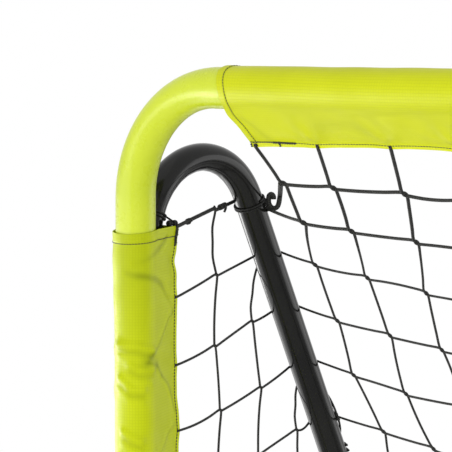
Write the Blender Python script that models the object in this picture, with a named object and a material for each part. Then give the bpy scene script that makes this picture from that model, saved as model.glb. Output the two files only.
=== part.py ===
"""Garden soccer goal: a steel tube frame with its fabric sleeves and its net.

The goal stands on the ground plane z = 0 with its mouth facing -Y. X runs along the crossbar.
The origin lies on the ground, below the middle of the goal. All sizes are in metres.
"""

import math

import bmesh
import bpy
from mathutils import Matrix, Vector

# Front hoop
GOAL_WIDTH = 1.800  # outside of one post to outside of the other
GOAL_HEIGHT = 1.200  # ground to the top of the crossbar
FRONT_DIAMETER = 0.050
CORNER_RADIUS = 0.138  # centre line of the bend between post and crossbar
STUB_REACH = 0.300  # post axis to the joint with the crossbar
TUBE_WALL = 0.0012

# Rear frame
REAR_DIAMETER = 0.038
LEG_ANGLE = 27.4  # degrees from straight back to the leg, seen from above the post
LEG_LENGTH = 0.300  # straight part of the stay behind the post
ARCH_RADIUS = 0.0995  # centre line of the arch at the top of the stay
ARCH_DROP = 0.0935  # crossbar axis down to the top of the arch
STAY_LEAN = 26.2  # degrees between the stay and the vertical
GROUND_ROOM = 0.003  # under the ground bars

# Plug-in joints
GAP = 0.0003  # between pieces that touch
SPIGOT_FIT = 0.0006  # between a tube's bore and the spigot in it
SPIGOT_LENGTH = 0.080  # reach of a spigot into its tube
SPIGOT_WALL = 0.003  # moulded spigots
SPIGOT_FLOOR = 0.005  # solid end of a moulded spigot's bore
CORNER_ARM = 0.042  # rear corner's middle to the end of each tube
CORNER_STEP = 0.0008  # the rear corner's ball is this much smaller than its arms
PAD_RADIUS = 0.024  # flat sole of the rear corner
PAD_HEIGHT = 0.008
FOOT_MARGIN = 0.0012  # front foot plate beyond the post
FOOT_PLATE = 0.008
FOOT_PLUG = 0.060  # reach of the foot's plug into the post
FOOT_ARM = 0.036  # length of the foot's arm for the side bar

# Snap locks
LOCK_REACH = 0.050  # shoulder of the joint to the button
HINGE_REACH = 0.009  # shoulder of the joint to the bend of the clip
CLIP_WIDTH = 0.008
CLIP_THICKNESS = 0.001
CLIP_TIP = 0.006  # leaf beyond the middle of the button
BUTTON_DIAMETER = 0.008
BUTTON_PLAY = 0.0013  # between the button and the side of its hole
BUTTON_PROUD = 0.003  # button above the tube
BUTTON_CROWN = 0.0012  # height of the button's rounded top

# Bolted joint between leg and post
SADDLE_THICKNESS = 0.0027  # between the two tubes
SADDLE_WIDTH = 0.026
SADDLE_DEPTH = 0.012
SADDLE_LENGTH = 0.160
BOLT_DIAMETER = 0.008
BOLT_CLEARANCE = 0.0004
BOLT_SPACING = 0.110
BOLT_INSIDE = 0.012  # shank inside the post
HEAD_DIAMETER = 0.014
HEAD_HEIGHT = 0.0045
NUT_NECK = 0.011  # rivet nut's diameter in the post's wall
NUT_BODY = 0.015
NUT_LENGTH = 0.012
CAP_FLANGE = 0.002
CAP_PLUG = 0.014

# Sleeves
SLEEVE_WALL = 0.0015
SLEEVE_START = 0.164  # post axis to the end of the crossbar's sleeve
FLAP_DROP = 0.0535  # crossbar's surface to the seam that carries the net
SEAM_STRIP = 0.007  # post sleeve's seam behind the leg
SEAM_RADIUS = 0.0003  # inside of the fold at the seam
SLEEVE_TOP = 0.177  # crossbar axis down to the post sleeve's top
SLEEVE_BOTTOM = 0.090  # ground to the post sleeve's lower end

# Net and its ties
MESH = 0.112
STRAND = 0.0035
NET_START = 0.024  # along the stay, from the arch to the back panel
NET_SAG = 0.045  # rise of the side panel's middle rows towards the stay
CORD_DIAMETER = 0.003
CORD_CLEARANCE = 0.0008
CORD_SPACING = 0.0042  # pitch of the turns
CORD_TURNS = 2.0
CORD_TAIL = 0.030
TIE_START = 0.005  # along the tube, from the arch or from the sleeve

# Fineness of round shapes
TUBE_SIDES = 16
SMALL_SIDES = 12
BEND_STEP = math.radians(13)
OUTLINE_STEP = math.radians(18)
TURN_STEPS = 24

# Positions that follow from the sizes above
FRONT_R = FRONT_DIAMETER / 2
REAR_R = REAR_DIAMETER / 2
LEAN = math.radians(STAY_LEAN)
POST_X = GOAL_WIDTH / 2 - FRONT_R
BAR_AXIS_Z = GOAL_HEIGHT - FRONT_R
JOINT_X = POST_X - STUB_REACH
LEG_DISTANCE = FRONT_R + SADDLE_THICKNESS + REAR_R
LEG_OUTWARD = LEG_DISTANCE * math.sin(math.radians(LEG_ANGLE))
LEG_BACKWARD = LEG_DISTANCE * math.cos(math.radians(LEG_ANGLE))
STAY_X = POST_X + LEG_OUTWARD
ARCH_Z = BAR_AXIS_Z - ARCH_DROP - ARCH_RADIUS
GROUND_Z = REAR_R + GROUND_ROOM
ARCH_END_BACK = LEG_BACKWARD + ARCH_RADIUS * (1 + math.cos(LEAN))
ARCH_END_Z = ARCH_Z + ARCH_RADIUS * math.sin(LEAN)
STAY_LENGTH = (ARCH_END_Z - GROUND_Z) / math.cos(LEAN)
REAR_BACK = ARCH_END_BACK + STAY_LENGTH * math.sin(LEAN)
FRONT_REACH = FRONT_R + GAP + SLEEVE_WALL
REAR_REACH = REAR_BACK + PAD_RADIUS
POST_Y = (FRONT_REACH - REAR_REACH) / 2
REAR_Y = POST_Y + REAR_BACK
FOOT_ARM_START = FRONT_R + FOOT_MARGIN
FOOT_ARM_END = FOOT_ARM_START + FOOT_ARM
FRONT_SPIGOT_R = FRONT_R - TUBE_WALL - SPIGOT_FIT
REAR_SPIGOT_R = REAR_R - TUBE_WALL - SPIGOT_FIT
LEG_ROOM = math.hypot(REAR_R + GAP + HEAD_HEIGHT, HEAD_DIAMETER / 2) + GAP
POST_SEAM = LEG_BACKWARD + LEG_ROOM + SEAM_STRIP
BAR_SEAM = FRONT_R + FLAP_DROP
STAY_DOWN = Vector((0, math.sin(LEAN), -math.cos(LEAN)))
STAY_OUT = Vector((0, math.cos(LEAN), math.sin(LEAN)))
UP = Vector((0, 0, 1))
BACK = Vector((0, 1, 0))
SIDES = {"left": -1, "right": 1}


def material(name, colour, roughness, metallic=0.0):
    """A plain Principled finish."""
    finish = bpy.data.materials.new(name)
    finish.use_nodes = True
    shader = finish.node_tree.nodes["Principled BSDF"]
    shader.inputs["Base Color"].default_value = (*colour, 1)
    shader.inputs["Roughness"].default_value = roughness
    shader.inputs["Metallic"].default_value = metallic
    return finish


def add_object(name, shape, finish, frame=None):
    """Turns a bmesh into a named, smooth-shaded object at the given frame."""
    bmesh.ops.recalc_face_normals(shape, faces=shape.faces)
    mesh = bpy.data.meshes.new(name)
    shape.to_mesh(mesh)
    shape.free()
    mesh.materials.append(finish)
    mesh.shade_smooth()
    mesh.set_sharp_from_angle(angle=math.radians(35))
    thing = bpy.data.objects.new(name, mesh)
    bpy.context.scene.collection.objects.link(thing)
    if frame is not None:
        thing.matrix_world = frame
    return thing


def combine(target, operation, name, shape, frame=None):
    """Adds or cuts a helper shape with a Boolean, and keeps the helper out of the part."""
    helper = add_object(name, shape, target.data.materials[0], frame)
    helper.hide_render = True
    helper.display_type = "WIRE"
    modifier = target.modifiers.new(name, "BOOLEAN")
    modifier.operation = operation
    modifier.solver = "EXACT"
    modifier.object = helper


def frame_on(origin, x_axis, z_axis):
    """A frame with its X and Z along the given directions."""
    x_axis = Vector(x_axis).normalized()
    z_axis = Vector(z_axis).normalized()
    y_axis = z_axis.cross(x_axis)
    turn = Matrix((x_axis, y_axis, z_axis)).transposed().to_4x4()
    return Matrix.Translation(origin) @ turn


def frame_along(origin, z_axis):
    """A frame with its Z along a direction and its X as level as can be."""
    z_axis = Vector(z_axis).normalized()
    across = UP if abs(z_axis.z) < 0.9 else BACK
    return frame_on(origin, across.cross(z_axis), z_axis)


def trace(start, heading, normal, moves):
    """Stations along a flat path of straight runs and bends: each a point and a heading."""
    point = Vector(start)
    heading = Vector(heading)
    stations = [(point, heading)]
    for kind, size, angle in moves:
        if kind == "run":
            point = point + heading * size
            stations.append((point, heading))
            continue
        centre = point + normal.cross(heading) * size
        steps = math.ceil(angle / BEND_STEP)
        first_point = point
        first_heading = heading
        for step in range(1, steps + 1):
            turn = Matrix.Rotation(angle * step / steps, 3, normal)
            point = centre + turn @ (first_point - centre)
            heading = turn @ first_heading
            stations.append((point, heading))
    return stations


def tube(stations, normal, outer, inner):
    """A round tube with a clear bore along the stations."""
    shape = bmesh.new()
    rings = []
    for radius in (outer, inner):
        loops = []
        for point, heading in stations:
            across = normal.cross(heading)
            loop = []
            for side in range(TUBE_SIDES):
                angle = (side + 0.5) * math.tau / TUBE_SIDES
                spoke = normal * math.cos(angle) + across * math.sin(angle)
                loop.append(shape.verts.new(point + spoke * radius))
            loops.append(loop)
        rings.append(loops)
    for side in range(TUBE_SIDES):
        after = (side + 1) % TUBE_SIDES
        for loops in rings:
            for one, two in zip(loops, loops[1:]):
                shape.faces.new((one[side], one[after], two[after], two[side]))
        for end in (0, -1):
            outside, inside = rings[0][end], rings[1][end]
            shape.faces.new((outside[side], outside[after], inside[after], inside[side]))
    return shape


def turned(profile, sides):
    """A solid of revolution about Z through (radius, height) points, closed at both ends."""
    shape = bmesh.new()
    loops = []
    for radius, height in profile:
        loop = []
        for side in range(sides):
            angle = (side + 0.5) * math.tau / sides
            place = (radius * math.cos(angle), radius * math.sin(angle), height)
            loop.append(shape.verts.new(place))
        loops.append(loop)
    for one, two in zip(loops, loops[1:]):
        for side in range(sides):
            after = (side + 1) % sides
            shape.faces.new((one[side], one[after], two[after], two[side]))
    shape.faces.new(loops[0])
    shape.faces.new(loops[-1])
    return shape


def block(low, high):
    """A rectangular block between two corners."""
    low = Vector(low)
    high = Vector(high)
    shape = bmesh.new()
    size = Matrix.Diagonal((*(high - low), 1))
    middle = Matrix.Translation((low + high) / 2)
    bmesh.ops.create_cube(shape, size=1, matrix=middle @ size)
    return shape


def round_cutter(radius, low, high, sides=SMALL_SIDES):
    """A straight round cutter whose flats reach the given radius."""
    full = radius / math.cos(math.pi / sides)
    return turned(((full, low), (full, high)), sides)


def spigot_rod(arm, length):
    """A moulded arm as thick as the tubes, with a hollow spigot that plugs into one."""
    bore = REAR_SPIGOT_R - SPIGOT_WALL
    tip = arm + length
    profile = (
        (REAR_R, 0),
        (REAR_R, arm),
        (REAR_SPIGOT_R, arm),
        (REAR_SPIGOT_R, tip),
        (bore, tip),
        (bore, arm + SPIGOT_FLOOR),
    )
    return turned(profile, TUBE_SIDES)


def make_locks():
    """Where each snap lock sits: shoulder of the joint, way into the tube, way out of the button."""
    locks = {}
    flap_way = Vector((0, math.sin(LEAN), -math.cos(LEAN)))
    front_bore = FRONT_SPIGOT_R - TUBE_WALL
    rear_bore = REAR_SPIGOT_R - SPIGOT_WALL
    for side, sign in SIDES.items():
        inward = Vector((-sign, 0, 0))
        corner = Vector((sign * STAY_X, REAR_Y, GROUND_Z))
        joint = Vector((sign * JOINT_X, POST_Y, BAR_AXIS_Z))
        shoulder = Vector((sign * STAY_X, POST_Y + FOOT_ARM_END, GROUND_Z))
        arm = CORNER_ARM
        front = (FRONT_R, front_bore)
        rear = (REAR_R, rear_bore)
        locks[f"{side}_crossbar"] = (joint, inward, flap_way, *front)
        locks[f"{side}_foot"] = (shoulder, BACK, inward, *rear)
        locks[f"{side}_side"] = (corner - BACK * arm, -BACK, inward, *rear)
        locks[f"{side}_stay"] = (corner - STAY_DOWN * arm, -STAY_DOWN, inward, *rear)
        locks[f"{side}_rear"] = (corner + inward * arm, inward, UP, *rear)
    return locks


def cut_for_lock(target, name, lock):
    """Drills the button's hole through one wall of a tube or spigot."""
    origin, along, out, tube_radius, _ = lock
    frame = frame_on(origin + along * LOCK_REACH, along, out)
    hole = BUTTON_DIAMETER / 2 + BUTTON_PLAY
    cutter = round_cutter(hole, tube_radius / 2, tube_radius + BUTTON_PROUD)
    combine(target, "DIFFERENCE", f"{target.name}_{name}_hole", cutter, frame)


def make_lock(name, lock, steel):
    """A clip in the spigot: a fixed spring, and the leaf with the button that bends from it."""
    origin, along, out, tube_radius, bore = lock
    flat = bore * math.cos(math.pi / TUBE_SIDES)
    reach = math.sqrt(flat**2 - (CLIP_WIDTH / 2) ** 2) - GAP
    half = CLIP_WIDTH / 2
    bend = HINGE_REACH + CLIP_THICKNESS
    tip = LOCK_REACH + CLIP_TIP
    leaf_low = reach - CLIP_THICKNESS
    frame = frame_on(origin, along, out)

    base = block((HINGE_REACH, -half, -reach), (tip, half, -reach + CLIP_THICKNESS))
    spring = add_object(f"{name}_spring", base, steel, frame)
    web_foot = -reach + CLIP_THICKNESS / 2
    web = block((HINGE_REACH, -half, web_foot), (bend, half, leaf_low - GAP))
    combine(spring, "UNION", f"{name}_web", web, frame)

    pivot = Vector((HINGE_REACH + CLIP_THICKNESS / 2, 0, leaf_low + CLIP_THICKNESS / 2))
    hinge = frame @ Matrix.Translation(pivot)
    leaf_end = tip - pivot.x
    rise = CLIP_THICKNESS / 2
    leaf = block((-rise, -half, -rise), (leaf_end, half, rise))
    button = add_object(f"{name}_button", leaf, steel, hinge)
    top = tube_radius + BUTTON_PROUD - pivot.z
    radius = BUTTON_DIAMETER / 2
    knob = turned(((radius, 0), (radius, top - BUTTON_CROWN), (radius / 2, top)), SMALL_SIDES)
    knob_frame = hinge @ Matrix.Translation((LOCK_REACH - pivot.x, 0, 0))
    combine(button, "UNION", f"{name}_knob", knob, knob_frame)


def make_front_hoop(locks, lime, steel):
    """The two bent posts, the crossbar between them and the inner tubes that join them."""
    bore = FRONT_R - TUBE_WALL
    for side, sign in SIDES.items():
        normal = Vector((0, -sign, 0))
        foot = Vector((sign * POST_X, POST_Y, FOOT_PLATE + GAP))
        moves = (
            ("run", BAR_AXIS_Z - CORNER_RADIUS - foot.z, 0),
            ("bend", CORNER_RADIUS, math.pi / 2),
            ("run", STUB_REACH - CORNER_RADIUS - GAP / 2, 0),
        )
        stations = trace(foot, UP, normal, moves)
        post = add_object(f"{side}_post", tube(stations, normal, FRONT_R, bore), lime)
        for level, frame in bolt_frames(sign):
            hole = round_cutter(NUT_NECK / 2 + GAP, FRONT_R / 2, LEG_DISTANCE)
            combine(post, "DIFFERENCE", f"{side}_post_{level}_hole", hole, frame)

        inward = Vector((-sign, 0, 0))
        start = Vector((sign * (JOINT_X + SPIGOT_LENGTH), POST_Y, BAR_AXIS_Z))
        stations = trace(start, inward, BACK, (("run", 2 * SPIGOT_LENGTH, 0),))
        shape = tube(stations, BACK, FRONT_SPIGOT_R, FRONT_SPIGOT_R - TUBE_WALL)
        spigot = add_object(f"{side}_crossbar_spigot", shape, steel)
        cut_for_lock(spigot, f"{side}_crossbar", locks[f"{side}_crossbar"])

    start = Vector((-JOINT_X + GAP / 2, POST_Y, BAR_AXIS_Z))
    stations = trace(start, Vector((1, 0, 0)), BACK, (("run", 2 * JOINT_X - GAP, 0),))
    crossbar = add_object("crossbar", tube(stations, BACK, FRONT_R, bore), lime)
    for side in SIDES:
        cut_for_lock(crossbar, f"{side}_crossbar", locks[f"{side}_crossbar"])


def make_rear_frame(locks, black):
    """The cane-shaped stays, and the side and rear bars on the ground."""
    bore = REAR_R - TUBE_WALL
    for side, sign in SIDES.items():
        normal = Vector((-1, 0, 0))
        start = Vector((sign * STAY_X, POST_Y + LEG_BACKWARD, ARCH_Z - LEG_LENGTH))
        moves = (
            ("run", LEG_LENGTH, 0),
            ("bend", ARCH_RADIUS, math.pi - LEAN),
            ("run", STAY_LENGTH - CORNER_ARM - GAP, 0),
        )
        shape = tube(trace(start, UP, normal, moves), normal, REAR_R, bore)
        stay = add_object(f"{side}_stay", shape, black)
        cut_for_lock(stay, f"{side}_stay", locks[f"{side}_stay"])
        for level, frame in bolt_frames(sign):
            radius = BOLT_DIAMETER / 2 + BOLT_CLEARANCE
            hole = round_cutter(radius, FRONT_R, LEG_DISTANCE + REAR_DIAMETER)
            combine(stay, "DIFFERENCE", f"{side}_stay_{level}_hole", hole, frame)

        front_end = POST_Y + FOOT_ARM_END + GAP
        start = Vector((sign * STAY_X, front_end, GROUND_Z))
        length = REAR_Y - CORNER_ARM - GAP - front_end
        shape = tube(trace(start, BACK, UP, (("run", length, 0),)), UP, REAR_R, bore)
        side_bar = add_object(f"{side}_side_bar", shape, black)
        for joint in ("foot", "side"):
            cut_for_lock(side_bar, f"{side}_{joint}", locks[f"{side}_{joint}"])

    half = STAY_X - CORNER_ARM - GAP
    start = Vector((-half, REAR_Y, GROUND_Z))
    stations = trace(start, Vector((1, 0, 0)), UP, (("run", 2 * half, 0),))
    rear_bar = add_object("rear_bar", tube(stations, UP, REAR_R, bore), black)
    for side in SIDES:
        cut_for_lock(rear_bar, f"{side}_rear", locks[f"{side}_rear"])


def make_corners_and_feet(locks, plastic):
    """The moulded rear corners and front feet, with a hollow spigot for every tube."""
    for side, sign in SIDES.items():
        inward = Vector((-sign, 0, 0))
        middle = Vector((sign * STAY_X, REAR_Y, GROUND_Z))
        rod = spigot_rod(CORNER_ARM, SPIGOT_LENGTH)
        corner = add_object(f"{side}_rear_corner", rod, plastic, frame_along(middle, -BACK))
        for way, joint in ((-STAY_DOWN, "stay"), (inward, "rear")):
            rod = spigot_rod(CORNER_ARM, SPIGOT_LENGTH)
            name = f"{side}_corner_{joint}_arm"
            combine(corner, "UNION", name, rod, frame_along(middle, way))
        ball = bmesh.new()
        bmesh.ops.create_uvsphere(ball, u_segments=12, v_segments=6, radius=REAR_R - CORNER_STEP)
        combine(corner, "UNION", f"{side}_corner_ball", ball, Matrix.Translation(middle))
        sole = turned(((PAD_RADIUS, 0), (PAD_RADIUS, PAD_HEIGHT)), TUBE_SIDES)
        on_ground = Matrix.Translation((middle.x, middle.y, 0))
        combine(corner, "UNION", f"{side}_corner_sole", sole, on_ground)
        for joint in ("side", "stay", "rear"):
            cut_for_lock(corner, f"{side}_{joint}", locks[f"{side}_{joint}"])

        plate = bmesh.new()
        for height in (0, FOOT_PLATE):
            for step in range(TUBE_SIDES):
                angle = (step + 0.5) * math.tau / TUBE_SIDES
                radius = FRONT_R + FOOT_MARGIN
                plate.verts.new((radius * math.cos(angle), radius * math.sin(angle), height))
            for across in (-REAR_R, REAR_R):
                plate.verts.new((sign * LEG_OUTWARD + across, FOOT_ARM_END, height))
        hull = bmesh.ops.convex_hull(plate, input=plate.verts)
        bmesh.ops.delete(plate, geom=hull["geom_interior"], context="VERTS")
        under_post = Matrix.Translation((sign * POST_X, POST_Y, 0))
        foot = add_object(f"{side}_front_foot", plate, plastic, under_post)
        bore = FRONT_SPIGOT_R - SPIGOT_WALL
        top = FOOT_PLATE + FOOT_PLUG
        profile = (
            (FRONT_SPIGOT_R, FOOT_PLATE / 2),
            (FRONT_SPIGOT_R, top),
            (bore, top),
            (bore, FOOT_PLATE + SPIGOT_FLOOR),
        )
        combine(foot, "UNION", f"{side}_foot_plug", turned(profile, TUBE_SIDES), under_post)
        start = Vector((sign * STAY_X, POST_Y + FOOT_ARM_START, GROUND_Z))
        rod = spigot_rod(FOOT_ARM, SPIGOT_LENGTH)
        combine(foot, "UNION", f"{side}_foot_arm", rod, frame_along(start, BACK))
        cut_for_lock(foot, f"{side}_foot", locks[f"{side}_foot"])


def bolt_frames(sign):
    """Frames of the two bolts a side: Z runs from the post's axis out through the leg."""
    outward = Vector((sign * LEG_OUTWARD, LEG_BACKWARD, 0))
    middle = ARCH_Z - LEG_LENGTH / 2
    frames = []
    for level, shift in (("upper", 0.5), ("lower", -0.5)):
        height = middle + shift * BOLT_SPACING
        origin = Vector((sign * POST_X, POST_Y, height))
        frames.append((level, frame_on(origin, UP, outward)))
    return frames


def make_leg_joint(black, steel):
    """The saddle between leg and post, the bolts and rivet nuts through them, and the leg's cap."""
    for side, sign in SIDES.items():
        post = Vector((sign * POST_X, POST_Y, 0))
        leg = Vector((sign * STAY_X, POST_Y + LEG_BACKWARD, 0))
        outward = (leg - post).normalized()
        middle = FRONT_R + SADDLE_THICKNESS / 2
        height = ARCH_Z - LEG_LENGTH / 2
        frame = frame_on(post + outward * middle + UP * height, UP, outward)
        size = Vector((SADDLE_LENGTH, SADDLE_WIDTH, SADDLE_DEPTH)) / 2
        saddle = add_object(f"{side}_stay_saddle", block(-size, size), black, frame)
        low = height - SADDLE_LENGTH
        high = height + SADDLE_LENGTH
        for name, axis, radius in (("post", post, FRONT_R), ("leg", leg, REAR_R)):
            cutter = round_cutter(radius + GAP, low, high, 2 * TUBE_SIDES)
            label = f"{side}_saddle_{name}_side"
            combine(saddle, "DIFFERENCE", label, cutter, Matrix.Translation(axis))

        shank = BOLT_DIAMETER / 2
        head_low = LEG_DISTANCE + REAR_R + GAP
        head_top = head_low + HEAD_HEIGHT
        wall_inside = math.sqrt((FRONT_R - TUBE_WALL) ** 2 - (NUT_BODY / 2) ** 2)
        neck_low = wall_inside * math.cos(math.pi / TUBE_SIDES) - GAP
        body_low = neck_low - NUT_LENGTH
        for level, place in bolt_frames(sign):
            hole = round_cutter(shank + BOLT_CLEARANCE, FRONT_R / 2, LEG_DISTANCE)
            combine(saddle, "DIFFERENCE", f"{side}_saddle_{level}_hole", hole, place)
            bolt_profile = (
                (shank, FRONT_R - TUBE_WALL - BOLT_INSIDE),
                (shank, head_low),
                (HEAD_DIAMETER / 2, head_low),
                (HEAD_DIAMETER / 2, head_low + HEAD_HEIGHT / 2),
                (HEAD_DIAMETER / 4, head_top),
            )
            bolt = turned(bolt_profile, SMALL_SIDES)
            add_object(f"{side}_stay_bolt_{level}", bolt, steel, place)
            nut_profile = (
                (NUT_BODY / 2, body_low),
                (NUT_BODY / 2, neck_low),
                (NUT_NECK / 2, neck_low),
                (NUT_NECK / 2, FRONT_R - 2 * GAP),
            )
            nut = add_object(f"{side}_rivet_nut_{level}", turned(nut_profile, SMALL_SIDES), steel, place)
            thread = round_cutter(shank + GAP, 0, LEG_DISTANCE)
            combine(nut, "DIFFERENCE", f"{side}_nut_{level}_thread", thread, place)

        bottom = leg + UP * (ARCH_Z - LEG_LENGTH - GAP)
        plug = ((REAR_SPIGOT_R, CAP_PLUG), (REAR_SPIGOT_R, 0), (REAR_R, 0), (REAR_R, -CAP_FLANGE))
        shape = turned(plug, TUBE_SIDES)
        add_object(f"{side}_leg_cap", shape, black, Matrix.Translation(bottom))


def outline(circles, wall):
    """Points round the hull of circles, which go anticlockwise as (across, along, radius)."""
    ways = []
    for one, two in zip(circles, circles[1:] + circles[:1]):
        apart = Vector(two[:2]) - Vector(one[:2])
        heading = math.atan2(apart.y, apart.x)
        ways.append(heading - math.acos((one[2] - two[2]) / apart.length))
    points = []
    for index, (across, along, radius) in enumerate(circles):
        span = (ways[index] - ways[index - 1]) % math.tau
        steps = math.ceil(span / OUTLINE_STEP)
        reach = radius / math.cos(span / steps / 2) + wall
        for step in range(steps + 1):
            angle = ways[index - 1] + span * step / steps
            spoke = Vector((math.cos(angle), math.sin(angle)))
            points.append(Vector((across, along)) + spoke * reach)
    return points


def sleeve(circles, length):
    """An open-ended fabric tube of even thickness round the hull of some circles."""
    inner = outline(circles, 0)
    outer = outline(circles, SLEEVE_WALL)
    shape = bmesh.new()
    loops = []
    for points, height in ((outer, 0), (outer, length), (inner, length), (inner, 0)):
        loops.append([shape.verts.new((*point, height)) for point in points])
    for one, two in zip(loops, loops[1:] + loops[:1]):
        for step in range(len(outer)):
            after = (step + 1) % len(outer)
            shape.faces.new((one[step], one[after], two[after], two[step]))
    return shape


def make_sleeves(fabric):
    """The crossbar's sleeve with its flap, and the post sleeves that also wrap the legs."""
    tip = BAR_SEAM - SLEEVE_WALL - SEAM_RADIUS
    circles = [(0, 0, FRONT_R + GAP), (0, tip, SEAM_RADIUS)]
    half = POST_X - SLEEVE_START
    start = Vector((half, POST_Y, BAR_AXIS_Z))
    along = Vector((-1, 0, 0))
    frame = frame_on(start, STAY_DOWN.cross(along), along)
    add_object("crossbar_sleeve", sleeve(circles, 2 * half), fabric, frame)

    tip = POST_SEAM - SLEEVE_WALL - SEAM_RADIUS
    for side, sign in SIDES.items():
        leg_and_seam = [(sign * LEG_OUTWARD, LEG_BACKWARD, LEG_ROOM), (0, tip, SEAM_RADIUS)]
        circles = [(0, 0, FRONT_R + GAP), *leg_and_seam[::sign]]
        length = BAR_AXIS_Z - SLEEVE_TOP - SLEEVE_BOTTOM
        frame = Matrix.Translation((sign * POST_X, POST_Y, SLEEVE_BOTTOM))
        add_object(f"{side}_post_sleeve", sleeve(circles, length), fabric, frame)


def net(points, strands, place):
    """A sheet of square-cut strands: flat points, the strands between them and their place."""
    neighbours = {key: [] for key in points}
    for one, two in strands:
        neighbours[one].append(two)
        neighbours[two].append(one)
    shape = bmesh.new()
    half = STRAND / 2
    corners = {}
    for key, around in neighbours.items():
        point = points[key]
        ways = {other: (points[other] - point).normalized() for other in around}
        around.sort(key=lambda other: math.atan2(ways[other].y, ways[other].x))
        top, bottom = [], []
        for index, other in enumerate(around):
            following = around[(index + 1) % len(around)]
            one, two = ways[other], ways[following]
            spread = one.x * two.y - one.y * two.x
            shift = Vector((-one.y, one.x))
            if abs(spread) > 0.05:
                shift = (one + two) / spread
            corner = point + shift * half
            top.append(shape.verts.new(place(corner, half)))
            bottom.append(shape.verts.new(place(corner, -half)))
        for index, other in enumerate(around):
            corners[key, other] = (top[index - 1], top[index], bottom[index - 1], bottom[index])
        if len(around) > 2:
            shape.faces.new(top)
            shape.faces.new(reversed(bottom))
    for one, two in strands:
        right, left, right_low, left_low = corners[one, two]
        far_left, far_right, far_left_low, far_right_low = corners[two, one]
        shape.faces.new((right, far_right, far_left, left))
        shape.faces.new((left_low, far_left_low, far_right_low, right_low))
        shape.faces.new((right_low, far_right_low, far_right, right))
        shape.faces.new((left, far_left, far_left_low, left_low))
    return shape


def grid(columns, rows, position):
    """Points and strands of a net with straight rows and columns."""
    points = {}
    strands = []
    for row in range(rows + 1):
        for column in range(columns + 1):
            points[row, column] = position(row / rows, column / columns)
            if column:
                strands.append(((row, column - 1), (row, column)))
            if row:
                strands.append(((row - 1, column), (row, column)))
    return points, strands


def make_back_net(twine):
    """The back panel behind the stays, and the roof panel from the crossbar's seam to its top."""
    behind = REAR_R + GAP + STRAND / 2
    arch_end = Vector((0, POST_Y + ARCH_END_BACK, ARCH_END_Z))
    top_line = arch_end + STAY_DOWN * NET_START + STAY_OUT * behind
    length = STAY_LENGTH - NET_START
    columns = round(2 * STAY_X / MESH)
    rows = round(length / MESH) + 1

    def back_place(flat, lift):
        return top_line + Vector((flat.x, 0, 0)) + STAY_DOWN * flat.y + STAY_OUT * lift

    def back_position(down, across):
        return Vector(((2 * across - 1) * STAY_X, down * length))

    points, strands = grid(columns, rows, back_position)
    add_object("net_back", net(points, strands, back_place), twine)

    corner_reach = STRAND / math.sqrt(2)
    seam = Vector((0, POST_Y, BAR_AXIS_Z)) + STAY_DOWN * (BAR_SEAM + GAP + corner_reach)
    meeting = top_line - STAY_DOWN * (STRAND / 2 + GAP + corner_reach)
    slope = meeting - seam
    roof_length = slope.length
    downhill = slope.normalized()
    uphill = downhill.cross(Vector((1, 0, 0)))
    top_half = POST_X - SLEEVE_START - STRAND
    low_half = STAY_X * (1 - 2 / columns)

    def roof_place(flat, lift):
        return seam + Vector((flat.x, 0, 0)) + downhill * flat.y + uphill * lift

    def roof_position(down, across):
        half = top_half + (low_half - top_half) * down
        return Vector(((2 * across - 1) * half, down * roof_length))

    points, strands = grid(columns - 2, max(1, round(roof_length / MESH)), roof_position)
    add_object("net_roof", net(points, strands, roof_place), twine)


def side_rows(bottom):
    """Rows of a side panel, top to bottom: height at the post's seam, and the end on the stay."""
    seam_top = BAR_AXIS_Z - SLEEVE_TOP - STRAND
    stay_top = ARCH_END_Z - NET_START * math.cos(LEAN)
    count = round((stay_top - bottom) / MESH) + 1
    rows = []
    for row in range(count + 1):
        share = row / count
        rise = NET_SAG * math.sin(math.pi * share)
        at_stay = stay_top + (bottom - stay_top) * share + rise
        back = ARCH_END_BACK + (ARCH_END_Z - at_stay) * math.tan(LEAN)
        at_seam = seam_top + (bottom - seam_top) * share
        rows.append((at_seam, Vector((back, at_stay))))
    return rows


def side_grid(seam, rows):
    """Points and strands of a side panel, whose columns hang from its top row and from the stay."""
    first_width = rows[0][1].x - seam
    front = max(1, round(first_width / MESH))
    columns = [(0, seam + first_width * step / front) for step in range(front)]
    columns += [(row, rows[row][1].x) for row in range(0, len(rows), 2)]
    points = {}
    strands = []
    ends = []
    for row, (at_seam, end) in enumerate(rows):
        line = []
        for column, (first_row, back) in enumerate(columns):
            if first_row > row:
                continue
            share = (back - seam) / (end.x - seam)
            points[row, column] = Vector((back, at_seam + (end.y - at_seam) * share))
            line.append((row, column))
            if first_row < row:
                strands.append(((row - 1, column), (row, column)))
        if row % 2:
            points[row, "stay"] = end
            line.append((row, "stay"))
        strands += list(zip(line, line[1:]))
        ends.append(line[-1])
    strands += list(zip(ends, ends[1:]))
    return points, strands


def make_side_nets(twine):
    """The side panels, from the post sleeve's seam round the outside of the stay."""
    seam = POST_SEAM + GAP + STRAND / 2
    rows = side_rows(GROUND_Z + REAR_R + GAP + STRAND / 2)
    slant = math.atan2(LEG_OUTWARD + REAR_DIAMETER, rows[0][1].x - seam)
    outside = LEG_OUTWARD + (REAR_R + GAP) / math.cos(slant) + STRAND / 2
    points, strands = side_grid(seam, rows)
    for side, sign in SIDES.items():

        def place(flat, lift, sign=sign):
            stay_back = ARCH_END_BACK + (ARCH_END_Z - flat.y) * math.tan(LEAN)
            share = (flat.x - seam) / (stay_back - seam)
            across = POST_X + outside * min(1, max(0, share)) + lift
            return Vector((sign * across, POST_Y + flat.x, flat.y))

        add_object(f"net_{side}", net(points, strands, place), twine)


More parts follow.
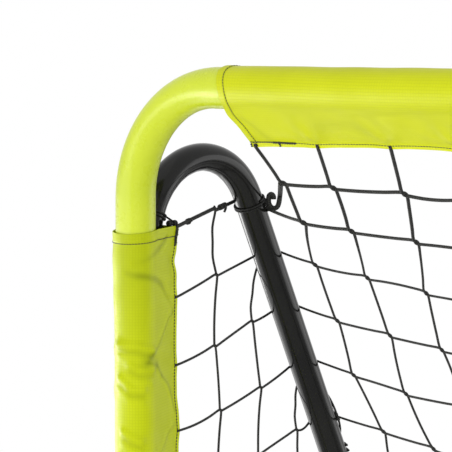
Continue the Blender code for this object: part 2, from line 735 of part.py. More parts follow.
def winding(name, origin, along, reference, twine):
    """A cord wound round the rear tube, with both ends running off straight."""
    radius = REAR_R + CORD_CLEARANCE + CORD_DIAMETER / 2
    beside = along.cross(reference)
    steps = round(CORD_TURNS * TURN_STEPS)
    turns = []
    for step in range(steps + 1):
        angle = math.tau * step / TURN_STEPS
        spoke = reference * math.cos(angle) + beside * math.sin(angle)
        turns.append(origin + spoke * radius + along * CORD_SPACING * step / TURN_STEPS)
    lead = (turns[0] - turns[1]).normalized()
    tail = (turns[-1] - turns[-2]).normalized()
    route = [turns[0] + lead * CORD_TAIL, *turns, turns[-1] + tail * CORD_TAIL]
    apart = TURN_STEPS // 2
    distances = [
        (route[one] - route[two]).length
        for one in range(len(route))
        for two in range(one + apart, len(route))
    ]
    print(name, "least gap to itself", round(min(distances) - CORD_DIAMETER, 5))
    curve = bpy.data.curves.new(name, "CURVE")
    curve.dimensions = "3D"
    curve.bevel_depth = CORD_DIAMETER / 2
    curve.bevel_resolution = 1
    curve.use_fill_caps = True
    spline = curve.splines.new("POLY")
    spline.points.add(len(route) - 1)
    for point, place in zip(spline.points, route):
        point.co = (*place, 1)
    curve.materials.append(twine)
    thing = bpy.data.objects.new(name, curve)
    bpy.context.scene.collection.objects.link(thing)


def make_ties(twine):
    """Cords that lash the net to the stay below its arch and to the leg above the sleeve."""
    for side, sign in SIDES.items():
        inward = Vector((-sign, 0, 0))
        arch_end = Vector((sign * STAY_X, POST_Y + ARCH_END_BACK, ARCH_END_Z))
        winding(f"{side}_stay_tie", arch_end + STAY_DOWN * TIE_START, STAY_DOWN, inward, twine)

        reach = REAR_R + CORD_CLEARANCE + CORD_DIAMETER
        shift = math.sqrt((FRONT_R + reach + CORD_CLEARANCE) ** 2 - LEG_OUTWARD**2) - LEG_BACKWARD
        clear_of_post = math.acos(1 - max(0, shift) / ARCH_RADIUS)
        sleeve_top = max(0, BAR_AXIS_Z - SLEEVE_TOP - ARCH_Z)
        clear_of_sleeve = math.asin((sleeve_top + TIE_START) / (ARCH_RADIUS - reach))
        half = CORD_TURNS * CORD_SPACING / 2
        climb = max(clear_of_post, clear_of_sleeve) + half / (ARCH_RADIUS - reach)
        back = LEG_BACKWARD + ARCH_RADIUS * (1 - math.cos(climb))
        height = ARCH_Z + ARCH_RADIUS * math.sin(climb)
        along = Vector((0, math.sin(climb), math.cos(climb)))
        middle = Vector((sign * STAY_X, POST_Y + back, height))
        behind = along.cross(Vector((1, 0, 0)))
        winding(f"{side}_sleeve_tie", middle - along * half, along, behind, twine)


def build():
    """Clears the scene and builds the goal."""
    for thing in list(bpy.data.objects):
        bpy.data.objects.remove(thing, do_unlink=True)
    lime = material("lime_powder_coat", (0.56, 0.66, 0.04), 0.25)
    black = material("black_powder_coat", (0.022, 0.022, 0.021), 0.12)
    plastic = material("black_moulding", (0.03, 0.03, 0.03), 0.45)
    steel = material("zinc_plated_steel", (0.55, 0.55, 0.54), 0.35, 1.0)
    fabric = material("lime_woven_fabric", (0.50, 0.55, 0.02), 0.7)
    twine = material("black_twine", (0.02, 0.02, 0.02), 0.7)
    locks = make_locks()
    make_front_hoop(locks, lime, steel)
    make_rear_frame(locks, black)
    make_corners_and_feet(locks, plastic)
    make_leg_joint(plastic, steel)
    for name, lock in locks.items():
        make_lock(name, lock, steel)
    make_sleeves(fabric)
    make_back_net(twine)
    make_side_nets(twine)
    make_ties(twine)


build()
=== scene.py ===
import math

import bpy
import numpy as np
from mathutils import Matrix, Vector


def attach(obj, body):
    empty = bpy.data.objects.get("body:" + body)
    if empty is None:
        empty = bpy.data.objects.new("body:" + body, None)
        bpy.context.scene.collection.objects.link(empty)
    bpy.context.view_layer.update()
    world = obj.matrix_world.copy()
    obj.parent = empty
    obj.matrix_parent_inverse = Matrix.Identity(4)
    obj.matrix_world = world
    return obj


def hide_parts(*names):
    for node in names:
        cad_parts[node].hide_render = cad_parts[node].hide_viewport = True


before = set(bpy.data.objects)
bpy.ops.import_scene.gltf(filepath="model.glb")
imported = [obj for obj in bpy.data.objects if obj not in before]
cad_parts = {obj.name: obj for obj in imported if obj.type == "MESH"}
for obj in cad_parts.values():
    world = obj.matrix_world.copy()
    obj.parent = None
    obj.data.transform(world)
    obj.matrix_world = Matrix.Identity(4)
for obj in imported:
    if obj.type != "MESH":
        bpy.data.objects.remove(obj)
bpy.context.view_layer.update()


# Posts: 50 mm steel tube with a 1.2 mm wall, each bent a quarter turn into the crossbar.
# The bender leaves the tube a little oval in the bend. Both are coated in glossy lime
# powder paint before the goal is put together.
front_radius = 0.025
tube_wall = 0.0012
post_x = 0.875
post_y = -0.360716
bar_z = 1.175
bend_radius = 0.138
post_foot = 0.0083
stub_end = 0.57515
bend_flat = 0.06
bend_wide = 0.03
leg_place = (0.021491, 0.041461)
nut_heights = (0.887, 0.777)
nut_bore = 0.0058
through_post = 0.04
both_sides = (("left", -1), ("right", 1))
lime_deep = (0.520, 0.615, 0.018, 1)
lime_light = (0.565, 0.655, 0.028, 1)


def feed(tree, node, values):
    """Gives a node's inputs their values, or links them to other nodes' outputs."""
    for key, value in values.items():
        if isinstance(value, bpy.types.NodeSocket):
            tree.links.new(value, node.inputs[key])
        else:
            node.inputs[key].default_value = value


def add_node(tree, kind, settings=None, values=None):
    """A shader node with its settings and what its inputs get."""
    made = tree.nodes.new(kind)
    for key, value in (settings or {}).items():
        setattr(made, key, value)
    feed(tree, made, values or {})
    return made


def new_material(name):
    """A new node material, its tree and its Principled shader."""
    finish = bpy.data.materials.new(name)
    finish.use_nodes = True
    return finish, finish.node_tree, finish.node_tree.nodes["Principled BSDF"]


def mix_colours(tree, factor, first, second):
    """Mixes two colours by a mask and gives the colour's socket."""
    values = {0: factor, 6: first, 7: second}
    return add_node(tree, "ShaderNodeMix", {"data_type": "RGBA"}, values).outputs[2]


def spread_value(tree, source, low, high, start=0.0, end=1.0):
    """Maps a mask to a range of values."""
    values = {"Value": source, "From Min": start, "From Max": end, "To Min": low, "To Max": high}
    return add_node(tree, "ShaderNodeMapRange", {"clamp": True}, values).outputs["Result"]


def bump(tree, height, strength, distance):
    """A Bump node fed by a height, as a normal's socket."""
    values = {"Height": height, "Strength": strength, "Distance": distance}
    return add_node(tree, "ShaderNodeBump", None, values).outputs["Normal"]


def object_place(tree):
    """The place on the piece, in metres."""
    return add_node(tree, "ShaderNodeTexCoord").outputs["Object"]


def noise(tree, place, scale, detail=2.0, roughness=0.5):
    """A noise mask over a place."""
    values = {"Vector": place, "Scale": scale, "Detail": detail, "Roughness": roughness}
    return add_node(tree, "ShaderNodeTexNoise", None, values).outputs["Fac"]


def new_group(name, output_names):
    """A node group that turns a place into masks: its tree, the place's socket and its output node."""
    tree = bpy.data.node_groups.new(name, "ShaderNodeTree")
    tree.interface.new_socket("Place", in_out="INPUT", socket_type="NodeSocketVector")
    for output_name in output_names:
        tree.interface.new_socket(output_name, in_out="OUTPUT", socket_type="NodeSocketFloat")
    place = tree.nodes.new("NodeGroupInput").outputs["Place"]
    return tree, place, tree.nodes.new("NodeGroupOutput")


paint_skin, skin_place, skin_out = new_group("paint_skin", ("Cloud", "Peel", "Rub"))
feed(paint_skin, skin_out, {
    "Cloud": noise(paint_skin, skin_place, 9.0, 3.0),
    "Peel": noise(paint_skin, skin_place, 420.0, 1.0),
    "Rub": noise(paint_skin, skin_place, 60.0, 5.0, 0.7),
})


def powder_coat(name, deep, light, smooth, rubbed, peel, shine):
    """Powder paint: clouded colour, fine orange peel, and gloss that is a little uneven."""
    finish, tree, shader = new_material(name)
    skin = add_node(tree, "ShaderNodeGroup", {"node_tree": paint_skin}, {"Place": object_place(tree)})
    cloud = spread_value(tree, skin.outputs["Cloud"], 0.0, 1.0, 0.35, 0.65)
    feed(tree, shader, {
        "Base Color": mix_colours(tree, cloud, deep, light),
        "Roughness": spread_value(tree, skin.outputs["Rub"], smooth, rubbed, 0.4, 0.7),
        "Normal": bump(tree, skin.outputs["Peel"], peel, 0.0002),
        "Specular IOR Level": shine,
    })
    return finish


lime_coat = powder_coat("lime_coat", lime_deep, lime_light, 0.26, 0.36, 0.10, 0.38)


def ring(name, radius, centre, turn=(0, 0, 0)):
    """Opens a new piece in edit mode with one ring of points, ready to be drawn out into a tube."""
    bpy.ops.object.select_all(action="DESELECT")
    bpy.ops.mesh.primitive_circle_add(vertices=64, radius=radius, location=centre, rotation=turn)
    bpy.context.object.name = name
    bpy.ops.object.transform_apply(location=True, rotation=True, scale=True)
    bpy.ops.object.mode_set(mode="EDIT")
    bpy.ops.mesh.select_all(action="SELECT")
    return bpy.context.object


def draw_out(way):
    """Extrudes the selected ring along a way."""
    bpy.ops.mesh.extrude_region_move(TRANSFORM_OT_translate={"value": way})


def bend_round(centre, axis, angle, steps):
    """Spins the selected ring round an axis."""
    bpy.ops.mesh.spin(steps=steps, angle=angle, center=centre, axis=axis)


def points_of(piece):
    """The piece's points as an array."""
    flat = np.empty(len(piece.data.vertices) * 3)
    piece.data.vertices.foreach_get("co", flat)
    return flat.reshape(-1, 3)


def set_points(piece, points):
    """Moves the piece's points."""
    piece.data.vertices.foreach_set("co", np.asarray(points, float).ravel())
    piece.data.update()


def apply_modifier(piece, name, kind, settings):
    """Adds a modifier and applies it."""
    modifier = piece.modifiers.new(name, kind)
    for key, value in settings.items():
        setattr(modifier, key, value)
    bpy.context.view_layer.objects.active = piece
    bpy.ops.object.modifier_apply(modifier=name)


def face_outwards(piece):
    """Merges doubles and turns all faces outwards."""
    bpy.context.view_layer.objects.active = piece
    piece.select_set(True)
    bpy.ops.object.mode_set(mode="EDIT")
    bpy.ops.mesh.select_all(action="SELECT")
    bpy.ops.mesh.remove_doubles(threshold=0.00002)
    bpy.ops.mesh.normals_make_consistent(inside=False)
    bpy.ops.object.mode_set(mode="OBJECT")


def finish_piece(piece, material, smooth=35):
    """Shades the piece, gives it its finish and slot, and fixes it to the goal."""
    bpy.ops.object.select_all(action="DESELECT")
    piece.select_set(True)
    bpy.context.view_layer.objects.active = piece
    bpy.ops.object.shade_smooth_by_angle(angle=math.radians(smooth))
    piece.data.materials.clear()
    piece.data.materials.append(material)
    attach(piece, "goal")


def give_wall(piece, thickness):
    """Gives a tube its wall, from the outside in, with closed rims."""
    face_outwards(piece)
    apply_modifier(piece, "wall", "SOLIDIFY", {"thickness": thickness, "offset": -1.0})


def drill(piece, start, way, radius, length=0.03, sides=24):
    """Drills a round hole from a point along a way; by default through one wall, from a tube's axis."""
    way = Vector(way).normalized()
    bpy.ops.object.select_all(action="DESELECT")
    middle = Vector(start) + way * length / 2
    bpy.ops.mesh.primitive_cylinder_add(vertices=sides, radius=radius, depth=length, location=middle)
    bit = bpy.context.object
    bit.rotation_euler = way.to_track_quat("Z", "Y").to_euler()
    bpy.context.view_layer.update()
    settings = {"operation": "DIFFERENCE", "solver": "EXACT", "object": bit}
    apply_modifier(piece, "hole", "BOOLEAN", settings)
    bpy.data.objects.remove(bit, do_unlink=True)


def nut_holes(side):
    """Where the two rivet nuts of a post sit: a point on its axis and the way to the leg."""
    way = Vector((side * leg_place[0], leg_place[1], 0)).normalized()
    return [(Vector((side * post_x, post_y, height)), way) for height in nut_heights]


for side_name, side in both_sides:
    post = ring(f"{side_name}_bent_post", front_radius, (side * post_x, post_y, post_foot))
    bend_low = bar_z - bend_radius
    bend_middle = (side * (post_x - bend_radius), post_y, bend_low)
    draw_out((0, 0, bend_low - post_foot))
    bend_round(bend_middle, (0, side, 0), math.pi / 2, 40)
    draw_out((-side * (post_x - bend_radius - stub_end), 0, 0))
    bpy.ops.object.mode_set(mode="OBJECT")
    points = points_of(post)
    reach = points[:, [0, 2]] - np.array([bend_middle[0], bend_low])
    distance = np.hypot(reach[:, 0], reach[:, 1])
    turn = np.arctan2(reach[:, 1], side * reach[:, 0])
    bent = np.sin(np.clip(turn, 0, math.pi / 2) * 2) ** 0.6
    pressed = bend_radius + (distance - bend_radius) * (1 - bend_flat * bent)
    points[:, [0, 2]] += reach * (pressed / np.maximum(distance, 0.001) - 1)[:, None]
    points[:, 1] = post_y + (points[:, 1] - post_y) * (1 + bend_wide * bent)
    set_points(post, points)
    give_wall(post, tube_wall)
    for start, way in nut_holes(side):
        drill(post, start, way, nut_bore, through_post)
    finish_piece(post, lime_coat)
    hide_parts(f"{side_name}_post")


# Crossbar: the straight lime tube between the two bent posts. An inner steel tube at each end
# joins it to its post, and the fabric sleeve hides the whole of it.
def coat(node_name, material):
    """Gives a piece of the frame its finish."""
    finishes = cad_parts[node_name].data.materials
    finishes.clear()
    finishes.append(material)


coat("crossbar", lime_coat)


def plated_steel(name, dull, bright, scale):
    """Zinc plating: bright metal with cloudy patches and a fine grain."""
    finish, tree, shader = new_material(name)
    place = object_place(tree)
    cloud = spread_value(tree, noise(tree, place, scale, 4.0), 0.0, 1.0, 0.35, 0.65)
    feed(tree, shader, {
        "Base Color": mix_colours(tree, cloud, dull, bright),
        "Roughness": spread_value(tree, cloud, 0.42, 0.24),
        "Normal": bump(tree, noise(tree, place, scale * 14, 1.0), 0.08, 0.0001),
        "Metallic": 1.0,
    })
    return finish


zinc = plated_steel("zinc", (0.42, 0.43, 0.43, 1), (0.66, 0.66, 0.63, 1), 90.0)
for side_name in ("left", "right"):
    coat(f"{side_name}_crossbar_spigot", zinc)


# Stays: 38 mm steel tube bent like a walking stick. The short leg is bolted behind the post,
# the arch stands free, and the long side slopes down to the rear corner. The black powder
# paint is very glossy, and the inside of the arch shows faint ripples from the bender.
rear_radius = 0.019
stay_x = 0.896491
leg_y = post_y + leg_place[1]
leg_bottom = 0.682
arch_radius = 0.0995
arch_z = 0.982
arch_flat = 0.05
arch_wide = 0.02
ripple_height = 0.00022
stay_lean = math.radians(26.2)
arch_turn = math.pi - stay_lean
stay_down = Vector((0, math.sin(stay_lean), -math.cos(stay_lean)))
stay_out = Vector((0, math.cos(stay_lean), math.sin(stay_lean)))
arch_back = leg_y + arch_radius * (1 + math.cos(stay_lean))
arch_end_z = arch_z + arch_radius * math.sin(stay_lean)
stay_length = 1.118886
tube_end = 0.0423
rear_y = 0.363516
ground_z = 0.022
button_hole = 0.0053
button_reach = 0.092
post_face = 0.026
bolt_bore = 0.0044
through_leg = 0.05
black_deep = (0.006, 0.006, 0.006, 1)
black_light = (0.010, 0.010, 0.009, 1)
black_coat = powder_coat("black_coat", black_deep, black_light, 0.13, 0.20, 0.05, 0.22)

for side_name, side in both_sides:
    stay = ring(f"{side_name}_bent_stay", rear_radius, (side * stay_x, leg_y, leg_bottom))
    draw_out((0, 0, arch_z - leg_bottom))
    arch_middle = (side * stay_x, leg_y + arch_radius, arch_z)
    bend_round(arch_middle, (1, 0, 0), arch_turn, 72)
    draw_out(stay_down * (stay_length - tube_end))
    bpy.ops.object.mode_set(mode="OBJECT")
    points = points_of(stay)
    reach = points[:, [1, 2]] - np.array(arch_middle[1:])
    distance = np.hypot(reach[:, 0], reach[:, 1])
    turn = np.arctan2(reach[:, 1], -reach[:, 0])
    inside_arch = (turn > 0) & (turn < arch_turn) & (distance < arch_radius + 2 * rear_radius)
    bent = np.where(inside_arch, np.sin(np.clip(turn / arch_turn, 0, 1) * math.pi), 0) ** 0.6
    inner = np.clip((arch_radius - distance) / rear_radius, 0, 1)
    ripple = ripple_height * np.sin(turn * 21) * np.sin(turn * 8 + 1) * inner * bent
    pressed = arch_radius + (distance - arch_radius) * (1 - arch_flat * bent) + ripple
    points[:, [1, 2]] += reach * (pressed / np.maximum(distance, 0.001) - 1)[:, None]
    points[:, 0] = side * stay_x + (points[:, 0] - side * stay_x) * (1 + arch_wide * bent)
    set_points(stay, points)
    give_wall(stay, tube_wall)
    rear_corner = Vector((side * stay_x, rear_y, ground_z))
    drill(stay, rear_corner - stay_down * button_reach, (-side, 0, 0), button_hole)
    for start, way in nut_holes(side):
        drill(stay, start + way * post_face, way, bolt_bore, through_leg)
    finish_piece(stay, black_coat)
    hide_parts(f"{side_name}_stay")


# Leg joint: a moulded saddle fills the gap between leg and post, two steel bolts run through
# both into rivet nuts in the post, and a moulded cap closes the leg's lower end. The post
# sleeve covers it all.
def moulding(name, deep, light):
    """Black moulded plastic with a fine eroded grain and paler, rubbed high spots."""
    finish, tree, shader = new_material(name)
    place = object_place(tree)
    rub = spread_value(tree, noise(tree, place, 35.0, 5.0, 0.7), 0.0, 1.0, 0.45, 0.75)
    feed(tree, shader, {
        "Base Color": mix_colours(tree, rub, deep, light),
        "Roughness": spread_value(tree, rub, 0.42, 0.58),
        "Normal": bump(tree, noise(tree, place, 1300.0, 2.0), 0.25, 0.0002),
    })
    return finish


black_moulding = moulding("black_moulding", (0.018, 0.018, 0.018, 1), (0.034, 0.034, 0.033, 1))
for side_name in ("left", "right"):
    for part_name in ("stay_saddle", "leg_cap"):
        coat(f"{side_name}_{part_name}", black_moulding)
    for part_name in ("stay_bolt_upper", "stay_bolt_lower", "rivet_nut_upper", "rivet_nut_lower"):
        coat(f"{side_name}_{part_name}", zinc)


# Rear corners and front feet: black mouldings that stand on the ground. Each has a hollow
# spigot for every tube that plugs onto it, a hole for the snap button, and a flat sole.
spigot_radius = 0.01695
spigot_bore = 0.01395
spigot_length = 0.082
weld_in = 0.002
bore_floor = 0.005
bore_depth = 0.09
sole_height = 0.008
corner_sole = 0.024
corner_ball = 0.0188
corner_arm = 0.042
foot_sole = 0.0262
foot_arm = 0.036
foot_reach = 0.0622
foot_button = post_y + foot_reach + 0.05
plug_radius = 0.02285
plug_bore = 0.01985
plug_length = 0.064
plug_start = sole_height / 2
plug_floor = sole_height + bore_floor


def rod(name, start, way, radius, length, sides=48):
    """A round bar from a point along a way, with its place in its mesh."""
    way = Vector(way).normalized()
    bpy.ops.object.select_all(action="DESELECT")
    middle = Vector(start) + way * length / 2
    bpy.ops.mesh.primitive_cylinder_add(vertices=sides, radius=radius, depth=length, location=middle)
    bar = bpy.context.object
    bar.name = name
    bar.rotation_euler = way.to_track_quat("Z", "Y").to_euler()
    bpy.ops.object.transform_apply(location=True, rotation=True, scale=True)
    return bar


def weld(piece, other):
    """Joins another solid to the piece."""
    settings = {"operation": "UNION", "solver": "EXACT", "object": other}
    apply_modifier(piece, "weld", "BOOLEAN", settings)
    bpy.data.objects.remove(other, do_unlink=True)


def spigot_arm(piece, start, way, arm):
    """Welds on an arm as thick as the tubes, with its hollow spigot."""
    way = Vector(way).normalized()
    weld(piece, rod("arm", start, way, rear_radius, arm))
    weld(piece, rod("spigot", start + way * (arm - weld_in), way, spigot_radius, spigot_length))
    drill(piece, start + way * (arm + bore_floor), way, spigot_bore, bore_depth, 48)


upwards = Vector((0, 0, 1))
for side_name, side in both_sides:
    middle = Vector((side * stay_x, rear_y, ground_z))
    under_corner = Vector((side * stay_x, rear_y, 0))
    moulded = rod(f"{side_name}_moulded_corner", under_corner, upwards, corner_sole, sole_height, 64)
    bpy.ops.object.select_all(action="DESELECT")
    bpy.ops.mesh.primitive_uv_sphere_add(segments=48, ring_count=24, radius=corner_ball, location=middle)
    ball = bpy.context.object
    bpy.ops.object.transform_apply(location=True, rotation=True, scale=True)
    weld(moulded, ball)
    forwards = Vector((0, -1, 0))
    inwards = Vector((-side, 0, 0))
    for way in (forwards, -stay_down, inwards):
        spigot_arm(moulded, middle, way, corner_arm)
    for way, out in ((forwards, inwards), (-stay_down, inwards), (inwards, upwards)):
        drill(moulded, middle + way * button_reach, out, button_hole)
    finish_piece(moulded, black_moulding, 30)
    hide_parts(f"{side_name}_rear_corner")

    under_post = Vector((side * post_x, post_y, 0))
    moulded = rod(f"{side_name}_moulded_foot", under_post, upwards, foot_sole, sole_height, 64)
    bpy.ops.object.select_all(action="DESELECT")
    tongue_middle = (side * stay_x, post_y + foot_reach / 2, sole_height / 2)
    bpy.ops.mesh.primitive_cube_add(size=1, location=tongue_middle)
    tongue = bpy.context.object
    tongue.scale = (2 * rear_radius, foot_reach, sole_height)
    bpy.ops.object.transform_apply(location=True, rotation=True, scale=True)
    weld(moulded, tongue)
    weld(moulded, rod("plug", under_post + upwards * plug_start, upwards, plug_radius, plug_length))
    drill(moulded, under_post + upwards * plug_floor, upwards, plug_bore, bore_depth, 48)
    spigot_arm(moulded, Vector((side * stay_x, post_y + foot_sole, ground_z)), -forwards, foot_arm)
    drill(moulded, (side * stay_x, foot_button, ground_z), inwards, button_hole)
    finish_piece(moulded, black_moulding, 30)
    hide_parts(f"{side_name}_front_foot")


# Ground bars: straight 38 mm tubes that lie just above the ground, one along each side and
# one across the back. They plug onto the feet and corners, and are coated like the stays.
plug_gap = 0.0003
for side_name, side in both_sides:
    front_end = Vector((side * stay_x, post_y + foot_reach + plug_gap, ground_z))
    back_end = Vector((side * stay_x, rear_y - tube_end, ground_z))
    bar = ring(f"{side_name}_ground_bar", rear_radius, front_end, (math.pi / 2, 0, 0))
    draw_out(back_end - front_end)
    bpy.ops.object.mode_set(mode="OBJECT")
    give_wall(bar, tube_wall)
    for along in (foot_button, rear_y - button_reach):
        drill(bar, (side * stay_x, along, ground_z), (-side, 0, 0), button_hole)
    finish_piece(bar, black_coat)
    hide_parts(f"{side_name}_side_bar")

half_bar = stay_x - tube_end
bar = ring("back_ground_bar", rear_radius, (-half_bar, rear_y, ground_z), (0, math.pi / 2, 0))
draw_out((2 * half_bar, 0, 0))
bpy.ops.object.mode_set(mode="OBJECT")
give_wall(bar, tube_wall)
for side in (-1, 1):
    drill(bar, (side * (stay_x - button_reach), rear_y, ground_z), (0, 0, 1), button_hole)
finish_piece(bar, black_coat)
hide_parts("rear_bar")


# Snap locks: a folded steel clip sits in each spigot, and the button on its free leaf springs
# out through the tube, so that the joint can't pull apart until it is pressed in.
for side_name in ("left", "right"):
    for joint_name in ("crossbar", "foot", "side", "stay", "rear"):
        for part_name in ("button", "spring"):
            coat(f"{side_name}_{joint_name}_{part_name}", zinc)


# Crossbar sleeve: coated lime ripstop folded once round the bar. Its long edges are sewn
# together in a strip, and this flap hangs down behind the bar and carries the net. Each end
# has a turned hem, sewn with the same dark thread, and the net draws soft folds into the flap.
cloth = 0.0009
seam_strip = 0.007
bar_snug = 0.0267
bar_tip = 0.0772
bar_hem = 0.0088
sleeve_half = 0.711
fold_height = 0.0017
fold_angles = (-0.85, -0.2, 0.5)
flap_ties = np.cumsum([0.171, 0.094, 0.105, 0.095, 0.088, 0.084, 0.081, 0.079]) - post_x
flap_ties = np.concatenate([flap_ties, [0.0], -flap_ties[::-1]])


def smooth_step(value, start, end):
    """Rises smoothly from 0 at the start to 1 at the end."""
    share = np.clip((value - start) / (end - start), 0, 1)
    return share * share * (3 - 2 * share)


def swell(distance, width):
    """A soft rise: 1 at no distance, fading to 0 within about two widths."""
    return np.exp(-((distance / width) ** 2))


def cloth_section(tip, arcs):
    """The closed line of folded cloth round its tubes, as a table: length, across, back, facing.

    It starts at the sewn tip, follows the first layer, goes round the arcs and comes back.
    """
    corners = [np.array([(-cloth * 1.05, tip), (-cloth * 1.05, tip - seam_strip)])]
    for centre, radius, start, end in arcs:
        turn = np.linspace(start, end, 160)
        corners.append(np.array(centre) + radius * np.stack([np.sin(turn), np.cos(turn)], 1))
    corners.append(np.array([(cloth * 1.05, tip - seam_strip), (cloth * 1.05, tip)]))
    line = np.concatenate(corners)
    length = np.concatenate([[0], np.cumsum(np.linalg.norm(np.diff(line, axis=0), axis=1))])
    even = np.linspace(0, length[-1], 1200)
    line = np.stack([np.interp(even, length, line[:, 0]), np.interp(even, length, line[:, 1])], 1)
    for smoothing in range(40):
        line[1:-1] = (line[:-2] + 2 * line[1:-1] + line[2:]) / 4
    heading = np.gradient(line, axis=0)
    heading /= np.linalg.norm(heading, axis=1)[:, None]
    return np.column_stack([even, line, heading[:, 1], -heading[:, 0]])


def read_section(section, around):
    """Across, back and the two parts of the facing, at lengths round the section."""
    return [np.interp(around, section[:, 0], section[:, part]) for part in (1, 2, 3, 4)]


def waves(first, second, seed, sizes):
    """Soft random waves over two lengths, between about -1 and 1."""
    chance = np.random.default_rng(seed)
    total = 0
    for size in sizes:
        angle, phase = chance.uniform(0, 2 * math.pi, 2)
        along_wave = first * np.cos(angle) + second * np.sin(angle)
        total = total + np.sin(2 * math.pi * along_wave / size + phase)
    return total / len(sizes)


def on_line(first, second, corners, width):
    """1 on a broken line of the flat cloth, fading to 0 beside it."""
    nearest = np.ones(np.shape(first))
    for start, end in zip(corners, corners[1:]):
        way = np.subtract(end, start)
        share = ((first - start[0]) * way[0] + (second - start[1]) * way[1]) / way.dot(way)
        share = np.clip(share, 0, 1)
        off = np.hypot(first - start[0] - share * way[0], second - start[1] - share * way[1])
        nearest = np.minimum(nearest, off)
    return swell(nearest, width)


def hem_lift(from_edge, width):
    """How far a turned hem stands out, by the distance from the cloth's edge."""
    return 0.0007 * smooth_step(width - from_edge, 0, 0.0008)


def cloth_grid(name, around, along):
    """A sheet as a grid of points; gives the piece and each point's two lengths in metres."""
    bpy.ops.object.select_all(action="DESELECT")
    bpy.ops.mesh.primitive_grid_add(x_subdivisions=len(around) - 1, y_subdivisions=len(along) - 1, size=1)
    piece = bpy.context.object
    piece.name = name
    flat = points_of(piece) + 0.5
    around = np.interp(flat[:, 0], np.linspace(0, 1, len(around)), around)
    along = np.interp(flat[:, 1], np.linspace(0, 1, len(along)), along)
    return piece, around, along


def sew_up(piece, points, facing, around, along, shade):
    """Sets the sheet's points, keeps its flat lengths for the weave and its painted shade, and thickens it.
    """
    set_points(piece, points)
    place = piece.data.attributes.new("cloth_place", "FLOAT_VECTOR", "POINT")
    place.data.foreach_set("vector", np.stack([around, along, shade], 1).ravel())
    normals = np.empty(len(points) * 3)
    piece.data.vertex_normals.foreach_get("vector", normals)
    if (normals.reshape(-1, 3) * facing).sum() < 0:
        bpy.ops.object.mode_set(mode="EDIT")
        bpy.ops.mesh.select_all(action="SELECT")
        bpy.ops.mesh.flip_normals()
        bpy.ops.object.mode_set(mode="OBJECT")
    apply_modifier(piece, "cloth", "SOLIDIFY", {"thickness": cloth, "offset": -1.0})


def maths(tree, operation, *values):
    """A Math node over values or sockets, as its result's socket."""
    return add_node(tree, "ShaderNodeMath", {"operation": operation}, dict(enumerate(values))).outputs[0]


thread_pitch = 0.0037
weave_group, weave_place, weave_out = new_group("ripstop", ("Grid", "Cloud", "Height"))
weave_parts = add_node(weave_group, "ShaderNodeSeparateXYZ", None, {0: weave_place}).outputs
ridges = []
for part, strong in (("X", 1.0), ("Y", 0.9)):
    waver = maths(weave_group, "PINGPONG", weave_parts[part], thread_pitch / 2)
    ridges.append(spread_value(weave_group, waver, strong, 0.0, 0.00012, 0.00060))
grid = maths(weave_group, "MAXIMUM", *ridges)
fibre = spread_value(weave_group, noise(weave_group, weave_place, 900.0, 2.0), 0.0, 0.35)
feed(weave_group, weave_out, {
    "Grid": grid,
    "Cloud": noise(weave_group, weave_place, 14.0, 4.0, 0.6),
    "Height": maths(weave_group, "ADD", grid, fibre),
})


def ripstop(name, deep, light, line, fold_shade):
    """Coated nylon: clouded lime with a fine grid of thicker threads, darkened by painted shade in its
    folds, half glossy.
    """
    finish, tree, shader = new_material(name)
    place = add_node(tree, "ShaderNodeAttribute", {"attribute_name": "cloth_place"}).outputs["Vector"]
    shade_mask = add_node(tree, "ShaderNodeSeparateXYZ", None, {0: place}).outputs["Z"]
    weave = add_node(tree, "ShaderNodeGroup", {"node_tree": weave_group}, {"Place": place})
    cloud = spread_value(tree, weave.outputs["Cloud"], 0.0, 1.0, 0.3, 0.7)
    plain = mix_colours(tree, cloud, deep, light)
    lined = mix_colours(tree, spread_value(tree, weave.outputs["Grid"], 0.0, 0.5), plain, line)
    feed(tree, shader, {
        # Painted shade: the third part of cloth_place mixes the colour towards the fold colour.
        "Base Color": mix_colours(tree, shade_mask, lined, fold_shade),
        "Roughness": spread_value(tree, cloud, 0.46, 0.38),
        "Normal": bump(tree, weave.outputs["Height"], 0.35, 0.0003),
        "Specular IOR Level": 0.16,
    })
    return finish


# Lime ripstop. Its colours are set a little pale, as painted light for the light that passes through the
# loose flap; the last colour is painted shade, for folds and for cloth lying on the tube.
cloth_deep = (0.605, 0.65, 0.004, 1)
cloth_light = (0.68, 0.725, 0.008, 1)
cloth_grid_line = (0.495, 0.545, 0.003, 1)
cloth_fold_shade = (0.30, 0.35, 0.003, 1)
lime_cloth = ripstop("lime_cloth", cloth_deep, cloth_light, cloth_grid_line, cloth_fold_shade)
bar_beta = math.acos(bar_snug / (bar_tip - seam_strip))
bar_section = cloth_section(bar_tip, [((0, 0), bar_snug, -bar_beta, bar_beta - 2 * math.pi)])
bar_around = bar_section[-1, 0]


